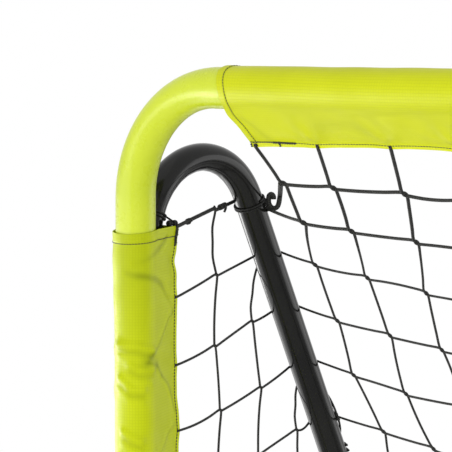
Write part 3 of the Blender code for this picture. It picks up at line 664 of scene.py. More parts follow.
def bar_cloth(around, along):
    """Points and facings of the crossbar sleeve, from lengths round the bar and along it."""
    across, back, face_across, face_back = read_section(bar_section, around)
    from_tip = np.minimum(around, bar_around - around)
    front = around < bar_around / 2
    from_end = sleeve_half - np.abs(along)
    lift = hem_lift(from_end, bar_hem) + 0.0004 * waves(around, along, 3, (0.05, 0.07, 0.11, 0.16))
    # Each strand of the net draws soft folds up from its tie.
    chance = np.random.default_rng(12)
    free = smooth_step(from_tip, seam_strip * 0.8, 0.022)
    pull = 0
    for tie in flap_ties:
        pull = pull + swell(along - tie, 0.016)
        for angle in fold_angles:
            angle += chance.normal(0, 0.18)
            tall = fold_height * chance.uniform(0.4, 1.0)
            reach = (along - tie) * np.sin(angle) + from_tip * np.cos(angle)
            off = (along - tie) * np.cos(angle) - from_tip * np.sin(angle)
            ridge = swell(off, 0.0035 + 0.12 * np.clip(reach, 0, 1))
            fade = smooth_step(reach, 0.004, 0.02) * swell(reach, 0.05)
            lift = lift + tall * ridge * fade * free * np.where(front, 1.0, 0.6)
    # The flap sways along the bar and is drawn down at each tie.
    low = smooth_step(back, 0.0, bar_tip)
    sway = 0.0014 * waves(along, along * 0, 8, (0.19, 0.31, 0.47)) * low * low
    across = across + face_across * lift + sway
    back = back + face_back * lift + (0.0012 * pull - 0.0004) * low ** 4
    # The ends bow outwards over the bar and below it, and the flap leans less there.
    near_end = smooth_step(0.05 - from_end, 0, 0.05)
    top = np.clip(-face_back, 0, 1) ** 2 * near_end
    under = swell(from_tip - 0.054, 0.014) * near_end
    along = along + np.sign(along) * (0.009 * top + 0.0042 * under)
    lean = stay_lean + math.radians(5.8) * smooth_step(from_end, 0.0, 0.24)
    points = np.stack([along, post_y + back * np.sin(lean) + across * np.cos(lean),
                       bar_z - back * np.cos(lean) + across * np.sin(lean)], 1)
    facing = np.stack([along * 0, face_back * np.sin(lean) + face_across * np.cos(lean),
                       -face_back * np.cos(lean) + face_across * np.sin(lean)], 1)
    return points, facing


# Painted shade beside each end's hem, and in the folds above each tie as lines with their widths and
# darkness.
end_fold_shade = [(0.018, 0.05), (0.034, 0.011)]
tie_fold_shades = [
    (((0.004, 0.006), (-0.006, 0.016)), 0.0028, 0.26),
    (((0.014, 0.020), (0.022, 0.036)), 0.012, 0.16),
    (((0.024, 0.034), (0.080, 0.052)), 0.010, 0.10),
    (((-0.020, 0.014), (-0.006, 0.055)), 0.010, 0.10),
]


def bar_painted_shade(around, along):
    """How far the crossbar sleeve is painted darker: painted shade on the tube, beside its ends and in
    folds above the net's strands.
    """
    from_tip = np.minimum(around, bar_around - around)
    from_end = sleeve_half - np.abs(along)
    # Painted shade on the tube, which the light does not pass through as it does the loose flap.
    shade = 0.22 * smooth_step(from_tip, 0.052, 0.078)
    shade = shade + 0.22 * on_line(from_end, from_tip, end_fold_shade, 0.006)
    for number, tie in enumerate(flap_ties):
        lean = np.sign(tie + 0.001) * (-1) ** number
        beyond = (along - tie) * lean
        for corners, wide, dark in tie_fold_shades:
            shade = shade + dark * on_line(beyond, from_tip, corners, wide)
    return np.clip(shade, 0, 1)


def spaced(total, edge, fine, coarse):
    """Lengths from 0 to the total, fine near both edges and coarse between."""
    middle = np.linspace(edge, total - edge, max(2, round((total - 2 * edge) / coarse)) + 1)
    rim = np.linspace(0, edge, round(edge / fine) + 1)[:-1]
    return np.concatenate([rim, middle, (total - rim)[::-1]])


bar_lines = spaced(bar_around, 0.009, 0.0015, 0.0031)
bar_rows = spaced(2 * sleeve_half, 0.012, 0.001, 0.0036) - sleeve_half
bar_sleeve, around, along = cloth_grid("crossbar_fabric", bar_lines, bar_rows)
points, facing = bar_cloth(around, along)
sew_up(bar_sleeve, points, facing, around, along, bar_painted_shade(around, along))
finish_piece(bar_sleeve, lime_cloth, 60)
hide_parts("crossbar_sleeve")


def stitches(places, facings, length, gap, thick):
    """Short rounded stitches one after another along a line on the cloth: points and faces."""
    steps = np.concatenate([[0], np.cumsum(np.linalg.norm(np.diff(places, axis=0), axis=1))])
    starts = np.arange(gap / 2, steps[-1] - length, length + gap)
    rise = [(0.0, 0.3, -0.5), (0.12, 0.8, 0.1), (0.5, 1.0, 0.45), (0.88, 0.8, 0.1), (1.0, 0.3, -0.5)]
    shape = np.array(rise)
    turn = np.arange(6) * math.pi / 3
    points = []
    faces = []
    for start in starts:
        wanted = start + shape[:, 0] * length
        line = np.stack([np.interp(wanted, steps, places[:, part]) for part in range(3)], 1)
        up = np.stack([np.interp(wanted, steps, facings[:, part]) for part in range(3)], 1)
        up /= np.linalg.norm(up, axis=1)[:, None]
        ahead = line[-1] - line[0]
        beside = np.cross(up, ahead / np.linalg.norm(ahead))
        radius = thick / 2 * shape[:, 1]
        centre = line + up * (shape[:, 2] * thick)[:, None]
        ringed = centre[:, None] + radius[:, None, None] * (
            np.cos(turn)[None, :, None] * beside[:, None] + np.sin(turn)[None, :, None] * up[:, None])
        points.append(ringed.reshape(-1, 3))
        first = (len(points) - 1) * 30
        for row in range(4):
            for corner in range(6):
                near = first + row * 6
                after = (corner + 1) % 6
                faces.append((near + corner, near + after, near + 6 + after, near + 6 + corner))
        faces.append(tuple(first + corner for corner in range(5, -1, -1)))
        faces.append(tuple(first + 24 + corner for corner in range(6)))
    return np.concatenate(points), faces


def listed_piece(name, points, faces):
    """A new piece from lists of its points and faces."""
    mesh = bpy.data.meshes.new(name)
    mesh.from_pydata(np.concatenate(points).tolist(), [], faces)
    piece = bpy.data.objects.new(name, mesh)
    bpy.context.collection.objects.link(piece)
    return piece


def thread_piece(name, seams, material):
    """One piece of all the stitches of a sleeve."""
    points = []
    faces = []
    count = 0
    for seam_points, seam_faces in seams:
        points.append(seam_points)
        faces.extend(tuple(corner + count for corner in face) for face in seam_faces)
        count += len(seam_points)
    piece = listed_piece(name, points, faces)
    face_outwards(piece)
    finish_piece(piece, material, 60)


def thread_finish(name, deep, light):
    """Dark sewing thread with a fine twist."""
    finish, tree, shader = new_material(name)
    twist = noise(tree, object_place(tree), 2200.0, 1.0)
    feed(tree, shader, {
        "Base Color": mix_colours(tree, twist, deep, light),
        "Roughness": 0.6,
        "Normal": bump(tree, twist, 0.3, 0.0001),
    })
    return finish


dark_thread = thread_finish("dark_thread", (0.010, 0.011, 0.014, 1), (0.034, 0.035, 0.042, 1))
hem_stitch = (0.0034, 0.0003, 0.0011)
strip_stitch = (0.0036, 0.0004, 0.0010)
tack_stitch = (0.0024, 0.0001, 0.0024)
bar_hem_seam = sleeve_half - 0.0098


def on_layer(up, layer):
    """Turns lengths up from the sewn tip into lengths round the bar, on its front or its back layer."""
    return up if layer > 0 else bar_around - up


def strip_seam(walk, layer):
    """The strip's seam on a layer; it climbs a little towards the sleeve's ends."""
    up = 0.0045 + 0.0035 * np.exp(-(sleeve_half - np.abs(walk)) / 0.06)
    return bar_cloth(on_layer(up, layer), walk)


seams = []
for end in (-1, 1):
    walk = np.linspace(0.001, bar_around - 0.001, 260)
    seams.append(stitches(*bar_cloth(walk, np.full_like(walk, end * bar_hem_seam)), *hem_stitch))
for layer in (1, -1):
    walk = np.linspace(-sleeve_half + 0.002, sleeve_half - 0.002, 900)
    seams.append(stitches(*strip_seam(walk, layer), *strip_stitch))
    for end in (-1, 1):
        for start, stop, thick in ((0.001, 0.038, 0.0018), (0.036, 0.072, 0.0028)):
            walk = end * (sleeve_half - np.linspace(start, stop, 40))
            seams.append(stitches(*strip_seam(walk, layer), 0.0034, 0.0001, thick))
        for off in (0.0014, 0.046):
            walk = on_layer(np.linspace(0.0004, 0.0080, 16), layer)
            tack = np.full_like(walk, end * (sleeve_half - off))
            seams.append(stitches(*bar_cloth(walk, tack), *tack_stitch))
thread_piece("crossbar_fabric_thread", seams, dark_thread)


# Post sleeves: the same ripstop, folded round each post together with the leg of its stay.
# The sewn edge points back into the goal, its strip holds the side net, and the net's rows
# draw the edge out and pull crossing creases into the flat inner side.
post_snug = 0.0266
leg_room = 0.0249
leg_gap = 0.0467
leg_turn = math.radians(27.4)
post_tip = 0.073569
post_hem = 0.0122
sleeve_low = 0.090
sleeve_high = 0.998
post_beta = math.acos(post_snug / (post_tip - seam_strip))
outer_turn = leg_turn + math.acos((post_snug - leg_room) / leg_gap)
around_post = ((0, 0), post_snug, -post_beta, outer_turn - 2 * math.pi)
around_leg = (leg_place, leg_room, outer_turn, 0.0)
post_section = cloth_section(post_tip, [around_post, around_leg])
post_around = post_section[-1, 0]
share = np.arange(14) / 13
seam_ties = 0.045 + 0.953 * (1 - 1.25 * share + 0.25 * share ** 2)
# A darker copy of the ripstop's colours: painted shade for the single layer of cloth with the dark leg
# behind it.
shaded_deep = (0.515, 0.595, 0.003, 1)
shaded_light = (0.575, 0.655, 0.005, 1)
shaded_grid_line = (0.435, 0.505, 0.003, 1)
shaded_fold = (0.22, 0.265, 0.003, 1)
shaded_cloth = ripstop("shaded_cloth", shaded_deep, shaded_light, shaded_grid_line, shaded_fold)
# Broken lines on the flat cloth, in lengths round the post and heights: the net's edge behind the cloth and
# the creases. They shape the cloth and carry painted shade.
net_edge = [(0.0073, 0.891), (0.025, 0.883), (0.0445, 0.866), (0.0584, 0.855), (0.0756, 0.844),
            (0.085, 0.834), (0.0644, 0.828), (0.050, 0.814), (0.0302, 0.801), (0.016, 0.782),
            (0.0071, 0.763)]
top_crease = [(0.0277, 0.985), (0.0474, 0.975), (0.0738, 0.967), (0.0875, 0.961), (0.0983, 0.957)]
next_crease = [(0.1109, 0.945), (0.0983, 0.942), (0.0864, 0.941), (0.0699, 0.937), (0.0472, 0.930),
               (0.028, 0.915), (0.0057, 0.899)]
front_creases = [[(0.1198, 0.806), (0.1111, 0.800), (0.1065, 0.793), (0.0898, 0.792)],
                 [(0.1212, 0.848), (0.0962, 0.847), (0.0772, 0.841)],
                 [(0.1065, 0.823), (0.0942, 0.818), (0.0772, 0.816)],
                 [(0.1159, 0.739), (0.1045, 0.732), (0.0921, 0.728)]]
# Spots of painted shade where the net's knots lie behind the cloth: length round the post, height, size.
shaded_spots = [(0.078, 0.842, 0.006), (0.0865, 0.833, 0.007), (0.066, 0.829, 0.006), (0.05, 0.814, 0.003)]
ridge_above = 0.008
ridge_below = 0.007
fold_steps = [(0.0, 1.0), (0.145, 0.6), (0.257, 0.9), (0.405, 0.5), (0.518, 0.8), (0.669, 0.6)]
outer_bulges = [[(0.105, 0.853), (0.130, 0.850), (0.155, 0.847), (0.180, 0.845)],
                [(0.110, 0.800), (0.130, 0.799), (0.155, 0.796), (0.180, 0.793)]]


def post_painted_shade(around, along):
    """How far a post sleeve is painted darker: painted shade at creases, along the net's edge and knots
    seen through the cloth, and where it lies on the tube.
    """
    on_tube = smooth_step(around, 0.058, 0.095) * smooth_step(0.130 - around, 0, 0.014)
    shade = 0.50 * on_line(around, along, top_crease, 0.0036)
    shade = shade * smooth_step(0.11 - around, 0, 0.06)
    faded = 1 - 0.7 * smooth_step(np.abs(around - 0.070), 0.018, 0.045)
    shade = shade + 0.50 * faded * on_line(around, along, next_crease, 0.0042)
    # Painted shade along the net's edge, at its knots and along the front creases, repeated down the post.
    for drop, strength in fold_steps:
        moved = along + drop
        shade = shade + 0.42 * strength * on_line(around, moved, net_edge, 0.0022)
        for first, height, size in shaded_spots:
            off = np.hypot(around - first, moved - height)
            shade = shade + 0.45 * strength * swell(off, size)
        for crease in front_creases:
            shade = shade + 0.22 * strength * on_line(around, moved, crease, 0.0034)
    # Painted shade where the cloth lies on the tube, deeper towards the top; the loose cloth lets light
    # through.
    shade = shade + on_tube * (0.12 + 0.26 * smooth_step(along, 0.80, 0.95))
    return np.clip(shade, 0, 0.9)


def post_cloth(around, along, side):
    """Points and facings of a post sleeve, from lengths round the post and heights."""
    across, back, face_across, face_back = read_section(post_section, around)
    from_tip = np.minimum(around, post_around - around)
    inner = around < post_around / 2
    high = sleeve_high - along
    rim = np.minimum(along - sleeve_low, high)
    lift = hem_lift(rim, post_hem) + 0.0008 * waves(around, along, 21, (0.045, 0.07, 0.1, 0.15))
    free = smooth_step(from_tip, seam_strip * 0.7, 0.016)
    # Two creases cross the top. One set of folds comes again down the post, weaker or stronger.
    lift = lift - 0.0016 * on_line(around, along, top_crease, 0.004) * free
    lift = lift - 0.0014 * on_line(around, along, next_crease, 0.0045) * free
    for drop, strength in fold_steps:
        moved = along + drop
        drape = 0.0012 * on_line(around, moved, net_edge, 0.0042) * free * inner
        for crease in front_creases:
            drape = drape - 0.0008 * on_line(around, moved, crease, 0.0030)
            drape = drape + 0.0040 * on_line(around, moved - ridge_above, crease, 0.0052)
            drape = drape + 0.0018 * on_line(around, moved + ridge_below, crease, 0.0046)
        for bulge in outer_bulges:
            drape = drape + 0.0015 * on_line(around, moved, bulge, 0.0105)
        lift = lift + strength * drape
    # The outer side is loose near the top and taut below, and no fold goes into the tubes.
    loose = swell(around - 0.155, 0.03) * smooth_step(along, 0.86, 0.97)
    taut = swell(around - 0.14, 0.04) * smooth_step(0.88 - along, 0, 0.08)
    lift = lift + 0.0022 * loose - 0.0006 * taut
    lift = np.maximum(lift, -0.0005 - 0.0015 * smooth_step(0.064 - from_tip, 0, 0.02))
    # The net's rows draw the sewn edge out, and it springs back between them.
    pull = 0
    for tie in seam_ties:
        pull = pull + swell(along - tie, 0.013)
    near_tip = smooth_step(0.03 - from_tip, 0, 0.03)
    drawn = 0.0022 * pull - 0.0010 - 0.0040 * swell(along - 0.953, 0.010)
    drawn = drawn - 0.0022 * swell(along - 0.915, 0.022)
    drawn = drawn + 0.0036 * smooth_step(0.785 - along, 0, 0.03)
    sway = 0.0016 * waves(along, along * 0, 31, (0.11, 0.17, 0.29)) * near_tip
    across = across + face_across * lift + sway
    back = back + face_back * lift + drawn * near_tip
    # The top edge dips in front of the post.
    in_front = np.clip(np.cos((around - 0.115) * 30), 0, 1) * (around < 0.17)
    along = along - 0.0045 * smooth_step(0.05 - high, 0, 0.05) * in_front
    points = np.stack([side * (post_x + across), post_y + back, along], 1)
    facing = np.stack([side * face_across, face_back, along * 0], 1)
    return points, facing


post_hem_seam = 0.0132
post_strip_seam = 0.0048
post_strip_stitch = (0.0037, 0.0003, 0.0014)
post_tack_stitch = (0.0026, 0.0001, 0.0026)
post_lines = spaced(post_around, 0.009, 0.0015, 0.0025)
post_rows = sleeve_low + spaced(sleeve_high - sleeve_low, 0.0135, 0.001, 0.0027)
for side_name, side in both_sides:
    sleeve, around, along = cloth_grid(f"{side_name}_post_fabric", post_lines, post_rows)
    points, facing = post_cloth(around, along, side)
    sew_up(sleeve, points, facing, around, along, post_painted_shade(around, along))
    finish_piece(sleeve, shaded_cloth, 60)
    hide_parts(f"{side_name}_post_sleeve")
    seams = []
    for height in (sleeve_low + post_hem_seam, sleeve_high - post_hem_seam):
        walk = np.linspace(0.001, post_around - 0.001, 300)
        seams.append(stitches(*post_cloth(walk, np.full_like(walk, height), side), *hem_stitch))
    for layer in (post_strip_seam, post_around - post_strip_seam):
        walk = np.linspace(sleeve_high - 0.003, sleeve_low + 0.003, 800)
        seams.append(stitches(*post_cloth(np.full_like(walk, layer), walk, side), *post_strip_stitch))
        walk = np.linspace(sleeve_high - 0.001, sleeve_high - 0.025, 50)
        tack = layer + np.sign(layer - 0.1) * 0.0012 + 0.0022 * np.sin(np.linspace(0, 60, 50))
        seams.append(stitches(*post_cloth(tack, walk, side), *post_tack_stitch))
    thread_piece(f"{side_name}_post_fabric_thread", seams, dark_thread)


# Back net: black braided twine. At each crossing two strands run together for a few millimetres
# and part again, with no knot. The columns hang from the flap over the roof and down the back,
# where each is laced round the rear bar, and the rows pass behind the stays.
twine = 0.0016
knot_twine = 0.0017
twine_gap = rear_radius + knot_twine + 0.0003
hang = np.array(stay_out)
along_stay = np.array(stay_down)
rear_row = 15
last_column = 16
back_first = np.cumsum([0.057, 0.089, 0.093, 0.097, 0.102, 0.106, 0.109, 0.110]) - post_x
back_columns = np.concatenate([back_first, [0.0], -back_first[::-1]])
upper_rows = [0.0275, 0.0955, 0.181, 0.2687, 0.359]
lower_rows = np.linspace(upper_rows[-1], stay_length - 0.003, 10)
row_places = np.concatenate([[0.0, 0.0], upper_rows, lower_rows[1:]])


def stay_point(distance, side):
    """A point on a stay's axis, down from the end of its arch."""
    start = np.array([side * stay_x, arch_back, arch_end_z])
    return start + along_stay * distance


def beside_stay(distance, side, turn, gap=twine_gap):
    """A point at a gap from a stay's axis, turned from behind it towards its outside."""
    outwards = np.array([side, 0, 0])
    return stay_point(distance, side) + gap * (math.cos(turn) * hang + math.sin(turn) * outwards)


def stay_wrap(distance, side):
    """A row's way round a stay, from its outside to behind it."""
    made = []
    for share in np.linspace(0, 1, 5):
        made.append(beside_stay(distance - 0.004 * (1 - share), side, math.radians(95 - 99 * share)))
    return made


def foot_loop(centre, up, out, along):
    """A column's lacing round a ground bar: a little over one turn, moved on along the bar."""
    made = []
    for step in range(1, 18):
        turn = step * math.radians(24)
        reach = rear_radius + 0.0015 + 0.0040 * max(0.0, math.cos(turn)) ** 4
        made.append(centre + reach * (math.cos(turn) * up + math.sin(turn) * out) + along * 0.0005 * step)
    return made


def twine_radius(line):
    """A strand's radius along a line: thinner where it is laced round a ground bar."""
    return twine - 0.0004 * smooth_step(0.06 - line[:, 2], 0, 0.02)


def unit(way):
    """The way as a unit vector."""
    return way / np.linalg.norm(way)


def curve_through(corners, fine=3):
    """A smooth line through points."""
    line = np.asarray(corners, float)
    ends = np.concatenate([[2 * line[0] - line[1]], line, [2 * line[-1] - line[-2]]])
    made = []
    for before, start, end, after in zip(ends, ends[1:], ends[2:], ends[3:]):
        for share in np.arange(fine) / fine:
            made.append(0.5 * (2 * start + (end - before) * share
                               + (2 * before - 5 * start + 4 * end - after) * share ** 2
                               + (3 * start - before - 3 * end + after) * share ** 3))
    return np.array(made + [line[-1]])


def slack(start, end, drop, wander, chance):
    """Points between two crossings, on a strand that hangs a little."""
    made = []
    shift = chance.normal(0, wander, 3)
    for share in (0.25, 0.5, 0.75):
        bow = 4 * share * (1 - share)
        made.append(start + (end - start) * share + shift * bow - np.array([0, 0, drop * bow]))
    return made


def bead_knot(place, way, size):
    """A small overhand knot: nearly two tight turns round a strand."""
    way = unit(way)
    beside = unit(np.cross(way, [0.2, 0.9, 0.3]))
    over = np.cross(way, beside)
    made = []
    for step in range(15):
        turn = step * math.radians(48)
        made.append(place + way * (step / 14 - 0.5) * size * 1.6
                    + size * 0.55 * (math.cos(turn) * beside + math.sin(turn) * over))
    return made


def crossing(place, down, across, facing, half_run):
    """The points of a column and of a row where they run together."""
    run = unit(down + across)
    apart = unit(down - across)
    head = place - run * half_run
    tail = place + run * half_run
    wide = apart * 0.0011
    deep = facing * 0.0012
    return [head - wide, place + deep, tail + wide], [head + wide, place - deep, tail - wide]


def twine_mesh(name, lines, thickness, sides=8):
    """Strands as one mesh of tubes; each line has its radius or radii, and points keep their turn."""
    points = []
    places = []
    faces = []
    count = 0
    turn = np.arange(sides) * 2 * math.pi / sides
    for line, radius in zip(lines, thickness):
        radius = np.broadcast_to(radius, len(line))[:, None, None]
        ahead = np.gradient(line, axis=0)
        ahead /= np.linalg.norm(ahead, axis=1)[:, None]
        length = np.concatenate([[0], np.cumsum(np.linalg.norm(np.diff(line, axis=0), axis=1))])
        beside = unit(np.cross(ahead[0], [0.37, 0.51, 0.78]))
        frames = []
        for way in ahead:
            beside = unit(beside - way * beside.dot(way))
            frames.append(beside)
        beside = np.array(frames)
        over = np.cross(ahead, beside)
        ringed = line[:, None] + radius * (np.cos(turn)[None, :, None] * beside[:, None]
                                           + np.sin(turn)[None, :, None] * over[:, None])
        points.append(ringed.reshape(-1, 3))
        rows = len(line)
        flat = np.zeros((rows, sides, 3))
        flat[:, :, 0] = length[:, None]
        flat[:, :, 1] = np.cos(2 * turn)[None]
        flat[:, :, 2] = np.sin(2 * turn)[None]
        places.append(flat.reshape(-1, 3))
        grid = count + np.arange(rows * sides).reshape(rows, sides)
        near = grid[:-1]
        far = grid[1:]
        quads = np.stack([near, np.roll(near, -1, 1), np.roll(far, -1, 1), far], 2).reshape(-1, 4)
        faces.extend(quads.tolist())
        faces.append(grid[0, ::-1].tolist())
        faces.append(grid[-1].tolist())
        count += rows * sides
    piece = listed_piece(name, points, faces)
    place = piece.data.attributes.new("strand_place", "FLOAT_VECTOR", "POINT")
    place.data.foreach_set("vector", np.concatenate(places).ravel())
    return piece


def twine_finish(name, deep, light, pitch):
    """Black braided twine: two sets of yarns that wind opposite ways, dull, paler on the yarns' tops than
    between them.
    """
    finish, tree, shader = new_material(name)
    place = add_node(tree, "ShaderNodeAttribute", {"attribute_name": "strand_place"}).outputs["Vector"]
    parts = add_node(tree, "ShaderNodeSeparateXYZ", None, {0: place}).outputs
    turn = maths(tree, "ARCTAN2", parts["Z"], parts["Y"])
    yarns = []
    for way in (1, -1):
        wound = maths(tree, "MULTIPLY_ADD", parts["X"], way * pitch, turn)
        yarns.append(maths(tree, "SINE", wound))
    height = spread_value(tree, maths(tree, "MAXIMUM", *yarns), 0.0, 1.0, -0.6, 1.0)
    feed(tree, shader, {
        "Base Color": mix_colours(tree, height, deep, light),
        "Roughness": spread_value(tree, height, 0.85, 0.62),
        "Normal": bump(tree, height, 0.6, 0.0005),
        "Specular IOR Level": 0.3,
    })
    return finish


black_twine = twine_finish("black_twine", (0.006, 0.006, 0.006, 1), (0.030, 0.030, 0.028, 1), 2400.0)
chance = np.random.default_rng(40)
flap_points = bar_cloth(flap_ties * 0, flap_ties)[0]
flap_inside = flap_points + np.array([0, -0.0016, 0.0038])
drift = {(0, 1): -0.0010, (0, 3): -0.0085, (0, 5): -0.0080, (0, 6): 0.0180, (0, 7): 0.0080,
         (1, 1): -0.0080, (1, 2): -0.0050, (1, 3): -0.0087, (1, 4): 0.0030, (1, 5): -0.0070,
         (1, 6): 0.0120}


def drifted(column, row):
    """How far a crossing of the two outer columns sits from its place, the same on both sides."""
    from_edge = min(column, last_column - column)
    return np.sign(2 * column - last_column) * drift.get((from_edge, row), 0.0)


knots = {}
for column in range(last_column + 1):
    share = back_columns[column] / stay_x
    hollow = 1 - share ** 2
    for row in range(3, rear_row + 1):
        settle = 1 - smooth_step(row_places[row], 0.72, 1.08)
        distance = row_places[row] + 0.055 * hollow * settle
        depth = twine_gap - 0.05 * hollow * settle
        place = stay_point(distance, 0) + hang * depth
        place[0] = back_columns[column] - 0.002 * (-1) ** row * settle
        place[0] -= drifted(column, row)
        if row < rear_row:
            place = place + chance.normal(0, 0.0016, 3)
        knots[column, row] = place
    for row in (1, 2):
        share = row / 3
        place = flap_points[column] * (1 - share) + knots[column, 3] * share
        near_edge = math.exp(-min(column, last_column - column))
        place[2] += 0.009 * math.sin(math.pi * share)
        place[0] += np.sign(last_column - 2 * column) * 0.0125 * math.sin(math.pi * share) * near_edge
        place[0] -= drifted(column, row)
        knots[column, row] = place

column_runs = {column: [flap_inside[column], flap_points[column]] for column in range(last_column + 1)}
row_runs = {}
for row in range(1, rear_row + 1):
    run = []
    if row > 1:
        run = stay_wrap(row_places[row], -1)
    for column in range(last_column + 1):
        place = knots[column, row]
        above = knots[column, row - 1] if row > 1 else flap_points[column]
        below = knots[column, row + 1] if row < rear_row else place + along_stay * 0.05
        before = knots[column - 1, row] if column else place - np.array([0.08, 0, 0])
        after = knots[column + 1, row] if column < last_column else place + np.array([0.08, 0, 0])
        down = unit(below - above)
        across = unit(after - before)
        pass_down, pass_across = crossing(place, down, across, unit(np.cross(across, down)), 0.0046)
        if row == rear_row:
            pass_down = [place + hang * 0.0034]
            pass_across = [place]
        column_runs[column] += slack(column_runs[column][-1], pass_down[0], 0.0, 0.0012, chance) + pass_down
        if run:
            loose = row < rear_row
            run += slack(run[-1], pass_across[0], 0.0008 * loose, 0.0009 * loose, chance)
        run += pass_across
    if row > 1:
        wrap = stay_wrap(row_places[row], 1)[::-1]
        run += slack(run[-1], wrap[0], 0.0, 0.0004, chance) + wrap
    row_runs[row] = run

for column in range(last_column + 1):
    centre = np.array([knots[column, rear_row][0], rear_y, ground_z])
    column_runs[column] += foot_loop(centre, hang, -along_stay, np.array([1, 0, 0]))
back_corner = {-1: knots[0, 1], 1: knots[last_column, 1]}
lines = [curve_through(run) for run in list(column_runs.values()) + list(row_runs.values())]
# A corner strand runs down behind each stay and is lashed to it with small knots.
small_knots = ((0.353, 0.0022), (0.360, 0.0030), (0.404, 0.0012), (0.413, 0.0010))
for side in (-1, 1):
    run = []
    for distance in np.arange(0.02, stay_length - 0.02, 0.012):
        turn = math.radians(16 - 56 * swell(distance - 0.357, 0.036))
        run.append(beside_stay(distance, side, turn, twine_gap + 0.0003))
    lines.append(curve_through(run))
    for distance, size in small_knots:
        turns = np.radians([14, 0, -14, -27, -40])
        lashing = [beside_stay(distance, side, turn, twine_gap - 0.0004) for turn in turns]
        lines.append(curve_through(lashing))
        lines.append(curve_through(bead_knot(lashing[-1], along_stay, size)))
radii = [twine_radius(line) + 0.0006 * smooth_step(line[:, 2], 0.95, 1.01) for line in lines]
back_net = twine_mesh("back_net", lines, radii)
finish_piece(back_net, black_twine, 80)
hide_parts("net_back", "net_roof")


# Side nets: the same twine, from the post sleeve's sewn strip to the outside of the stay, where
# the rows run on into the back net. The foot of each column is laced round the side bar.
first_column = 0.0755
side_columns = first_column + 0.0925 * np.arange(1, 8)
bar_row = 13
top_twine = 0.0025
for side_name, side in both_sides:
    chance = np.random.default_rng(41)
    outwards = np.array([side, 0, 0])
    seam_points = post_cloth(seam_ties * 0, np.clip(seam_ties, 0.092, 0.996), side)[0]
    seam_points[:, 2] = seam_ties
    stay_drops = [0.006, *(row_places[3:] - 0.004)]
    stay_ends = [stay_point(drop, side) for drop in stay_drops]
    knots = {}
    for row in range(bar_row + 1):
        far = stay_ends[row] + outwards * twine_gap
        near = seam_points[row]
        for column, offset in enumerate(side_columns):
            zigzag = -0.0012 - 0.0032 * (-1) ** row if row else 0.004
            back = post_y + offset + zigzag * (row < bar_row)
            if back > far[1] - 0.022:
                continue
            share = (back - near[1]) / (far[1] - near[1])
            place = near + (far - near) * share
            place[2] -= min(0.010, 0.0022 * max(0, row - 1)) * math.sin(math.pi * share)
            if row == bar_row:
                clear_of_button = 0.020 * (column == 5)
                place = np.array([side * stay_x, back - clear_of_button, ground_z + twine_gap])
            else:
                place = place + chance.normal(0, 0.0012, 3)
            knots[column, row] = place
    column_runs = {}
    lines = []
    radii = []
    for row in range(bar_row + 1):
        near = seam_points[row]
        far = stay_ends[row] + outwards * twine_gap
        run = [near + np.array([0, -0.005, 0]), near]
        if row == bar_row:
            near = np.array([side * stay_x, post_y + first_column, ground_z + twine_gap])
            far = np.array([side * stay_x, rear_y - 0.055, ground_z + twine_gap])
            run = [near, near + np.array([0, 0.004, 0])]
        present = [column for column in range(len(side_columns)) if (column, row) in knots]
        for column in present:
            place = knots[column, row]
            if column not in column_runs:
                if row:
                    top_back = side_columns[column] + post_y + 0.012 - 0.0045 * (-1) ** column
                    top = (top_back - arch_back) / math.sin(stay_lean)
                    turns = np.radians([40, 70, 98])
                    column_runs[column] = [beside_stay(top, side, turn) for turn in turns]
                else:
                    column_runs[column] = [place + np.array([0, 0, 0.004])]
            above = knots.get((column, row - 1), column_runs[column][-1])
            below = knots.get((column, row + 1), place - np.array([0, 0, 0.07]))
            down = unit(below - above)
            across = unit(far - near)
            pass_down, pass_across = crossing(place, down, across, unit(np.cross(across, down)), 0.0028)
            if row == bar_row:
                pass_down = [place + np.array([0, 0, 0.0034])]
                pass_across = [place]
            first_cell = (column, row - 1) not in knots or row == 1
            bow = slack(column_runs[column][-1], pass_down[0], 0.0, 0.0016, chance) if row else []
            bow = [point - np.array([0, 0.006 * first_cell * (row < bar_row), 0]) for point in bow]
            column_runs[column] += bow + pass_down
            droop = 0.0006 * (0 < row < bar_row)
            run += slack(run[-1], pass_across[0], droop, 0.0010 * (row < bar_row), chance) + pass_across
        short = np.linalg.norm(far - run[-1]) < 0.05
        droop = (0.0045 if short else 0.0012) * (1 < row < bar_row)
        run += slack(run[-1], far, droop, 0.0, chance) + [far]
        lines.append(curve_through(run))
        radii.append(twine if row else top_twine)
        if row == 0:
            top_way = far - near
            for share in (0.16, 0.71, 0.77):
                lines.append(curve_through(bead_knot(near + top_way * share, top_way, 0.0044)))
                radii.append(knot_twine)
            end = near + top_way * 0.79
            tail = [end, end + np.array([0, 0.001, -0.004]), end + np.array([0, -0.002, -0.009])]
            lines.append(curve_through(tail))
            radii.append(knot_twine)
    for column, run in column_runs.items():
        centre = np.array([side * stay_x, knots[column, bar_row][1], ground_z])
        run += foot_loop(centre, np.array([0, 0, 1]), outwards, np.array([0, 1, 0]))
        lines.append(curve_through(run))
        radii.append(twine_radius(lines[-1]))
    side_net = twine_mesh(f"{side_name}_side_net", lines, radii)
    finish_piece(side_net, black_twine, 80)
    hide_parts(f"net_{side_name}")


# Ties: short black cords that lash the net where it carries most. One winds twice round each
# stay below its arch, and a thicker end leaves its knot for the first crossing of the roof;
# the other winds round the leg above the sleeve and is knotted at the sleeve's corner.
thin_cord = 0.0013
thick_cord = 0.0034
knot_lumps = ((-2.6, 5.4, 0.0042), (-0.6, 2.0, 0.0052), (0.8, -1.6, 0.0058), (2.4, -5.0, 0.0042))
cord_bends = ((9.4, 7.5), (9.1, 11.5), (6.4, 14.2), (3.4, 12.2), (2.7, 7.0), (3.4, 1.5), (6.2, -2.8),
              (10.2, -4.4), (14.0, -2.6), (16.0, 1.6), (17.0, 7.0), (18.0, 15.3))
arch_climb = 0.33209
